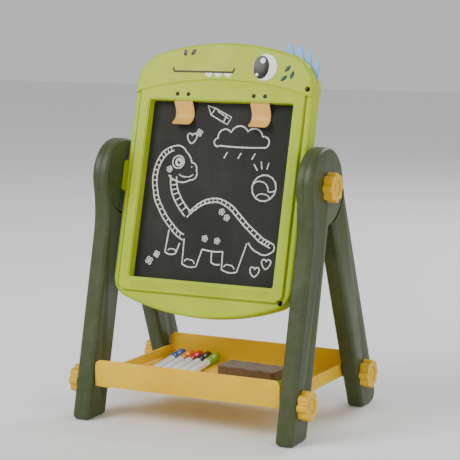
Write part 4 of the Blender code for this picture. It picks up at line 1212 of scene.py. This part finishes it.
# %% drill it, round its lip and copy it to four places
for way in CLIP_SCREWS.values():
    carve(clip, rod("screw_hole", (way * MM, 6.6 * MM, 0), 2.3 * MM, 8 * MM, "Z", 24))
tips = clip.data.vertices
choose(clip, "EDGE", lambda edge: length_along(tips, edge, 2) > 0.5 * MM
       and all(tips[i].co.y < -31 * MM and abs(tips[i].co.x) > 13 * MM for i in edge.vertices))
bpy.ops.mesh.bevel(offset=3.5 * MM, segments=5, profile=0.5, affect="EDGES")
bpy.ops.object.mode_set(mode="OBJECT")
soften(clip, 0.3 * MM, 2, 45)
for end, facing in FACINGS.items():
    for label, centre in CLIP_CENTRES.items():
        body = "%s_clip_%s" % (end, label)
        twin = copy_of(clip, body + "_look")
        settle(twin, BOARD @ facing @ Matrix.Translation((centre * MM, *CLIP_AXIS)))
        hand_over(twin, body, clip_amber, "clip", body)
print("clips", len(clip.data.polygons), "faces each")
bpy.data.objects.remove(clip, do_unlink=True)

# %% [markdown]
# ## The markers
# Each marker is a white barrel with a stepped tail and a coloured cap. The cap has fine grip ribs near its
# mouth. Stacked cylinders would meet in hard steps, so both are turned on the lathe: a profile is drawn and
# spun.

# %% turn one cap
CAP_LENGTH, LENGTH = 43 * MM, 134 * MM
cap_outer = [(0.0, 0.0), (4.4 * MM, 0.0), (5.6 * MM, 0.5 * MM), (5.9 * MM, 1.8 * MM), (5.9 * MM, 26 * MM)]
for rib in range(6):
    base = 27 * MM + rib * 2.0 * MM
    cap_outer += [(5.45 * MM, base), (5.45 * MM, base + 0.5 * MM)]
    cap_outer += [(5.9 * MM, base + 1.0 * MM), (5.9 * MM, base + 1.5 * MM)]
cap_outer += [(5.9 * MM, 42.6 * MM), (5.6 * MM, CAP_LENGTH)]
cap_outer += [(4.7 * MM, CAP_LENGTH), (4.7 * MM, 3 * MM), (0.0, 3 * MM)]
cap = on_lathe("cap", cap_outer)
print("cap", len(cap.data.polygons), "faces")

# %% turn one barrel with its writing tip
barrel_profile = [(0.0, 5 * MM), (1.2 * MM, 5.2 * MM), (1.8 * MM, 8.5 * MM)]
barrel_profile += [(3.2 * MM, 9.5 * MM), (4.3 * MM, 12 * MM)]
barrel_profile += [(4.3 * MM, 43.3 * MM), (4.7 * MM, 43.4 * MM), (5.0 * MM, 43.9 * MM), (5.0 * MM, 127 * MM)]
barrel_profile += [(4.75 * MM, 127.3 * MM), (4.75 * MM, 128 * MM)]
barrel_profile += [(5.0 * MM, 128.3 * MM), (5.0 * MM, 132.6 * MM)]
barrel_profile += [(4.6 * MM, 133.6 * MM), (3.8 * MM, LENGTH), (0.0, LENGTH)]
barrel = on_lathe("barrel", barrel_profile)
print("barrel", len(barrel.data.polygons), "faces")

# %% lay the five markers side by side
rise = TRAY_BOTTOM + WALL + 5.9 * MM + 0.3 * MM
for index, colour in enumerate(("blue", "orange", "red", "black", "green")):
    far = Vector(((-108 + 13.5 * index) * MM, PIVOT.y + 106 * MM, rise))
    lie = Matrix.Rotation(math.radians(8.7), 4, "Z") @ Matrix.Rotation(math.pi / 2, 4, "X")
    place = Matrix.Translation(far) @ lie
    cap_twin = settle(copy_of(cap, "marker_cap_%s_look" % colour), place)
    barrel_twin = settle(copy_of(barrel, "marker_barrel_%s_look" % colour), place)
    hand_over(cap_twin, "marker_cap_" + colour, cap_finishes[colour], "cap_" + colour, "marker_cap_" + colour)
    hand_over(barrel_twin, "marker_barrel_" + colour, marker_white, "marker_white", "marker_barrel_" + colour)
bpy.data.objects.remove(cap, do_unlink=True)
bpy.data.objects.remove(barrel, do_unlink=True)

# %% [markdown]
# ## The eraser
# A block of pressed felt on a green plastic back, lying felt up. A plain block would look like wood. Felt
# wears unevenly, so its block is given evenly spaced points, and they are moved a little by smooth waves.

# %% the eraser's back
ERASER_LOW = TRAY_BOTTOM + WALL + 0.3 * MM
ERASER_PLACE = Matrix.Translation((52 * MM, PIVOT.y, ERASER_LOW)) @ Matrix.Rotation(math.radians(-4), 4, "Z")


def eraser_sheet(name, low, high, shrink=0.0):
    a, b, r = 43 * MM - shrink, 21 * MM - shrink, 6 * MM
    strokes = [("arc", (a - r, b - r), 90, 8), ("line", (-a + r, b)), ("arc", (-a + r, b - r), 90, 8)]
    strokes += [("line", (-a, -b + r)), ("arc", (-a + r, -b + r), 90, 8), ("line", (a - r, -b))]
    strokes += [("arc", (a - r, -b + r), 90, 8), ("line", (a, b - r))]
    return cut_sheet(name, (a, b - r), strokes, low, high)


back_plate = eraser_sheet("eraser_body_look", 0, 11 * MM)
round_rim(back_plate, 0, 2 * MM, 4)
round_rim(back_plate, 11 * MM, 0.8 * MM, 3)
settle(back_plate, ERASER_PLACE)
hand_over(back_plate, "eraser", eraser_green, "eraser_green", "eraser_body")
print("eraser back", len(back_plate.data.polygons), "faces")

# %% the worn felt
FELT_LOW, FELT_TOP = 11.3 * MM, 25.2 * MM
felt = eraser_sheet("eraser_felt_look", FELT_LOW, FELT_TOP, 0.6 * MM)
pick_up(felt)
remesh = felt.modifiers.new("even points", "REMESH")
remesh.mode = "VOXEL"
remesh.voxel_size = 1.1 * MM
bpy.ops.object.modifier_apply(modifier=remesh.name)
for vertex in felt.data.vertices:
    height = (vertex.co.z - FELT_LOW) / (FELT_TOP - FELT_LOW)
    wave = math.sin(vertex.co.x * 190) * 0.6 + math.sin(vertex.co.x * 470 + vertex.co.y * 300) * 0.4
    vertex.co.z -= max(0.0, height) * (0.9 + 0.7 * wave) * MM
    vertex.co.y *= 1 + 0.012 * math.sin(vertex.co.x * 260 + vertex.co.z * 500)
smooth = felt.modifiers.new("worn", "SMOOTH")
smooth.iterations = 4
bpy.ops.object.modifier_apply(modifier=smooth.name)
settle(felt, ERASER_PLACE)
hand_over(felt, "eraser", felt_brown, "felt", "eraser_felt")
print("felt", len(felt.data.polygons), "faces")

# %% [markdown]
# ## Screws, studs and inserts
# The visible screws have pan heads with a cross recess. A thread could be cut on each, but it is never seen
# once the screw is in, so a screw is a turned profile with two slots carved across its head. The studs and
# brass inserts stay as packed, because they hide inside the legs and the board, and only get their metal.

# %% turn a screw and carve its cross recess
def cross_screw(name, head, rise, shank, length):
    """A screw standing on its tip, the top of its head at w = 0."""
    profile = [(0.0, -rise - length), (shank, -rise - length + shank), (shank, -rise), (head, -rise)]
    profile += [(head, -rise * 0.55), (head * 0.8, -rise * 0.15), (head * 0.45, 0.0), (0.0, 0.0)]
    screw = on_lathe(name, profile, 28)
    arm, half = head * 0.5, head * 0.13
    carve(screw, block("slot", (-arm, -half, -rise * 0.6), (arm, half, 0.01)))
    carve(screw, block("slot", (-half, -arm, -rise * 0.6), (half, arm, 0.01)))
    return screw


def set_screws(screw, places):
    for name, facing, (u, v, w) in places:
        twin = copy_of(screw, name + "_look")
        settle(twin, BOARD @ facing @ Matrix.Translation((u * MM, v * MM, w * MM)))
        # the near-black screw finish is painted shade of the wells around the screws
        hand_over(twin, "board", dark_screw_steel_painted_shade, "steel", name)
    bpy.data.objects.remove(screw, do_unlink=True)

# %% set the twelve screws
small, large = [], []
for end, facing in FACINGS.items():
    for label, centre in CLIP_CENTRES.items():
        for letter, way in CLIP_SCREWS.items():
            spot = (centre + way, CLIP_SCREW_HEIGHT, 15.5)
            small.append(("%s_clip_%s_screw_%s" % (end, label, letter), facing, spot))
    for label, (u, v) in SHELL_SCREWS.items():
        large.append(("%s_shell_screw_%s" % (end, label), facing, (u, v, 7.5)))
set_screws(cross_screw("small_screw", 2.5 * MM, 1.0 * MM, 1.3 * MM, 5.5 * MM), small)
set_screws(cross_screw("large_screw", 3.2 * MM, 2.2 * MM, 1.5 * MM, 12 * MM), large)
print(len(small) + len(large), "screws set")

# %% finish the hidden metal
hidden = 0
for name, node in frame["nodes"].items():
    if name.endswith("_stud") or name.endswith("_insert"):
        node.data.materials.clear()
        node.data.materials.append(zinc_steel if name.endswith("_stud") else turned_brass)
        hidden += 1
print(hidden, "studs and inserts finished")

# %% [markdown]
# ## Floor and light
# A pale floor, one broad soft light from the front left, a weaker one from the right and a strip from behind
# that draws the rims of the legs. One lamp would be simpler, but its hard shadows would hide the tray, and
# broad lights show the satin gloss of the plastic.

# %% the floor
put_down_all()
bpy.ops.mesh.primitive_plane_add(size=14, location=(0, 0, -0.0004))
floor = bpy.context.active_object
floor.name = "floor"
material, tree, place = new_finish("floor_pale_matt")
drift = add(tree, "ShaderNodeTexNoise", {
    "Vector": place, "Scale": per_mm(900), "Detail": 2, "Roughness": 0.55,
})
tone = add(tree, "ShaderNodeMix", {
    0: drift, 6: paint("E9EAE9"), 7: paint("EFEFEE"),
}, 2, data_type="RGBA")
matt = add(tree, "ShaderNodeBsdfPrincipled", {"Base Color": tone, "Roughness": 0.9})
add(tree, "ShaderNodeOutputMaterial", {"Surface": matt})
floor.data.materials.append(material)
print("floor laid")

# %% the lights and the sky
def soft_light(name, place, size, power):
    data = bpy.data.lights.new(name, "AREA")
    data.shape = "RECTANGLE"
    data.size, data.size_y = size
    data.energy = power
    light = bpy.data.objects.new(name, data)
    bpy.context.scene.collection.objects.link(light)
    light.location = place
    light.rotation_euler = (Vector((0, 0, 0.24)) - Vector(place)).to_track_quat("-Z", "Y").to_euler()


soft_light("key", (-1.3, -1.9, 1.9), (1.4, 1.4), 60)
soft_light("fill", (2.3, -1.2, 1.0), (1.6, 1.6), 20)
soft_light("rim", (0.6, 2.0, 1.7), (1.6, 0.8), 34)
world = bpy.data.worlds.new("studio")
bpy.context.scene.world = world
world.use_nodes = True
sky = world.node_tree.nodes["Background"]
sky.inputs["Color"].default_value = paint("F2F3F5")
sky.inputs["Strength"].default_value = 0.68
print("lights set")
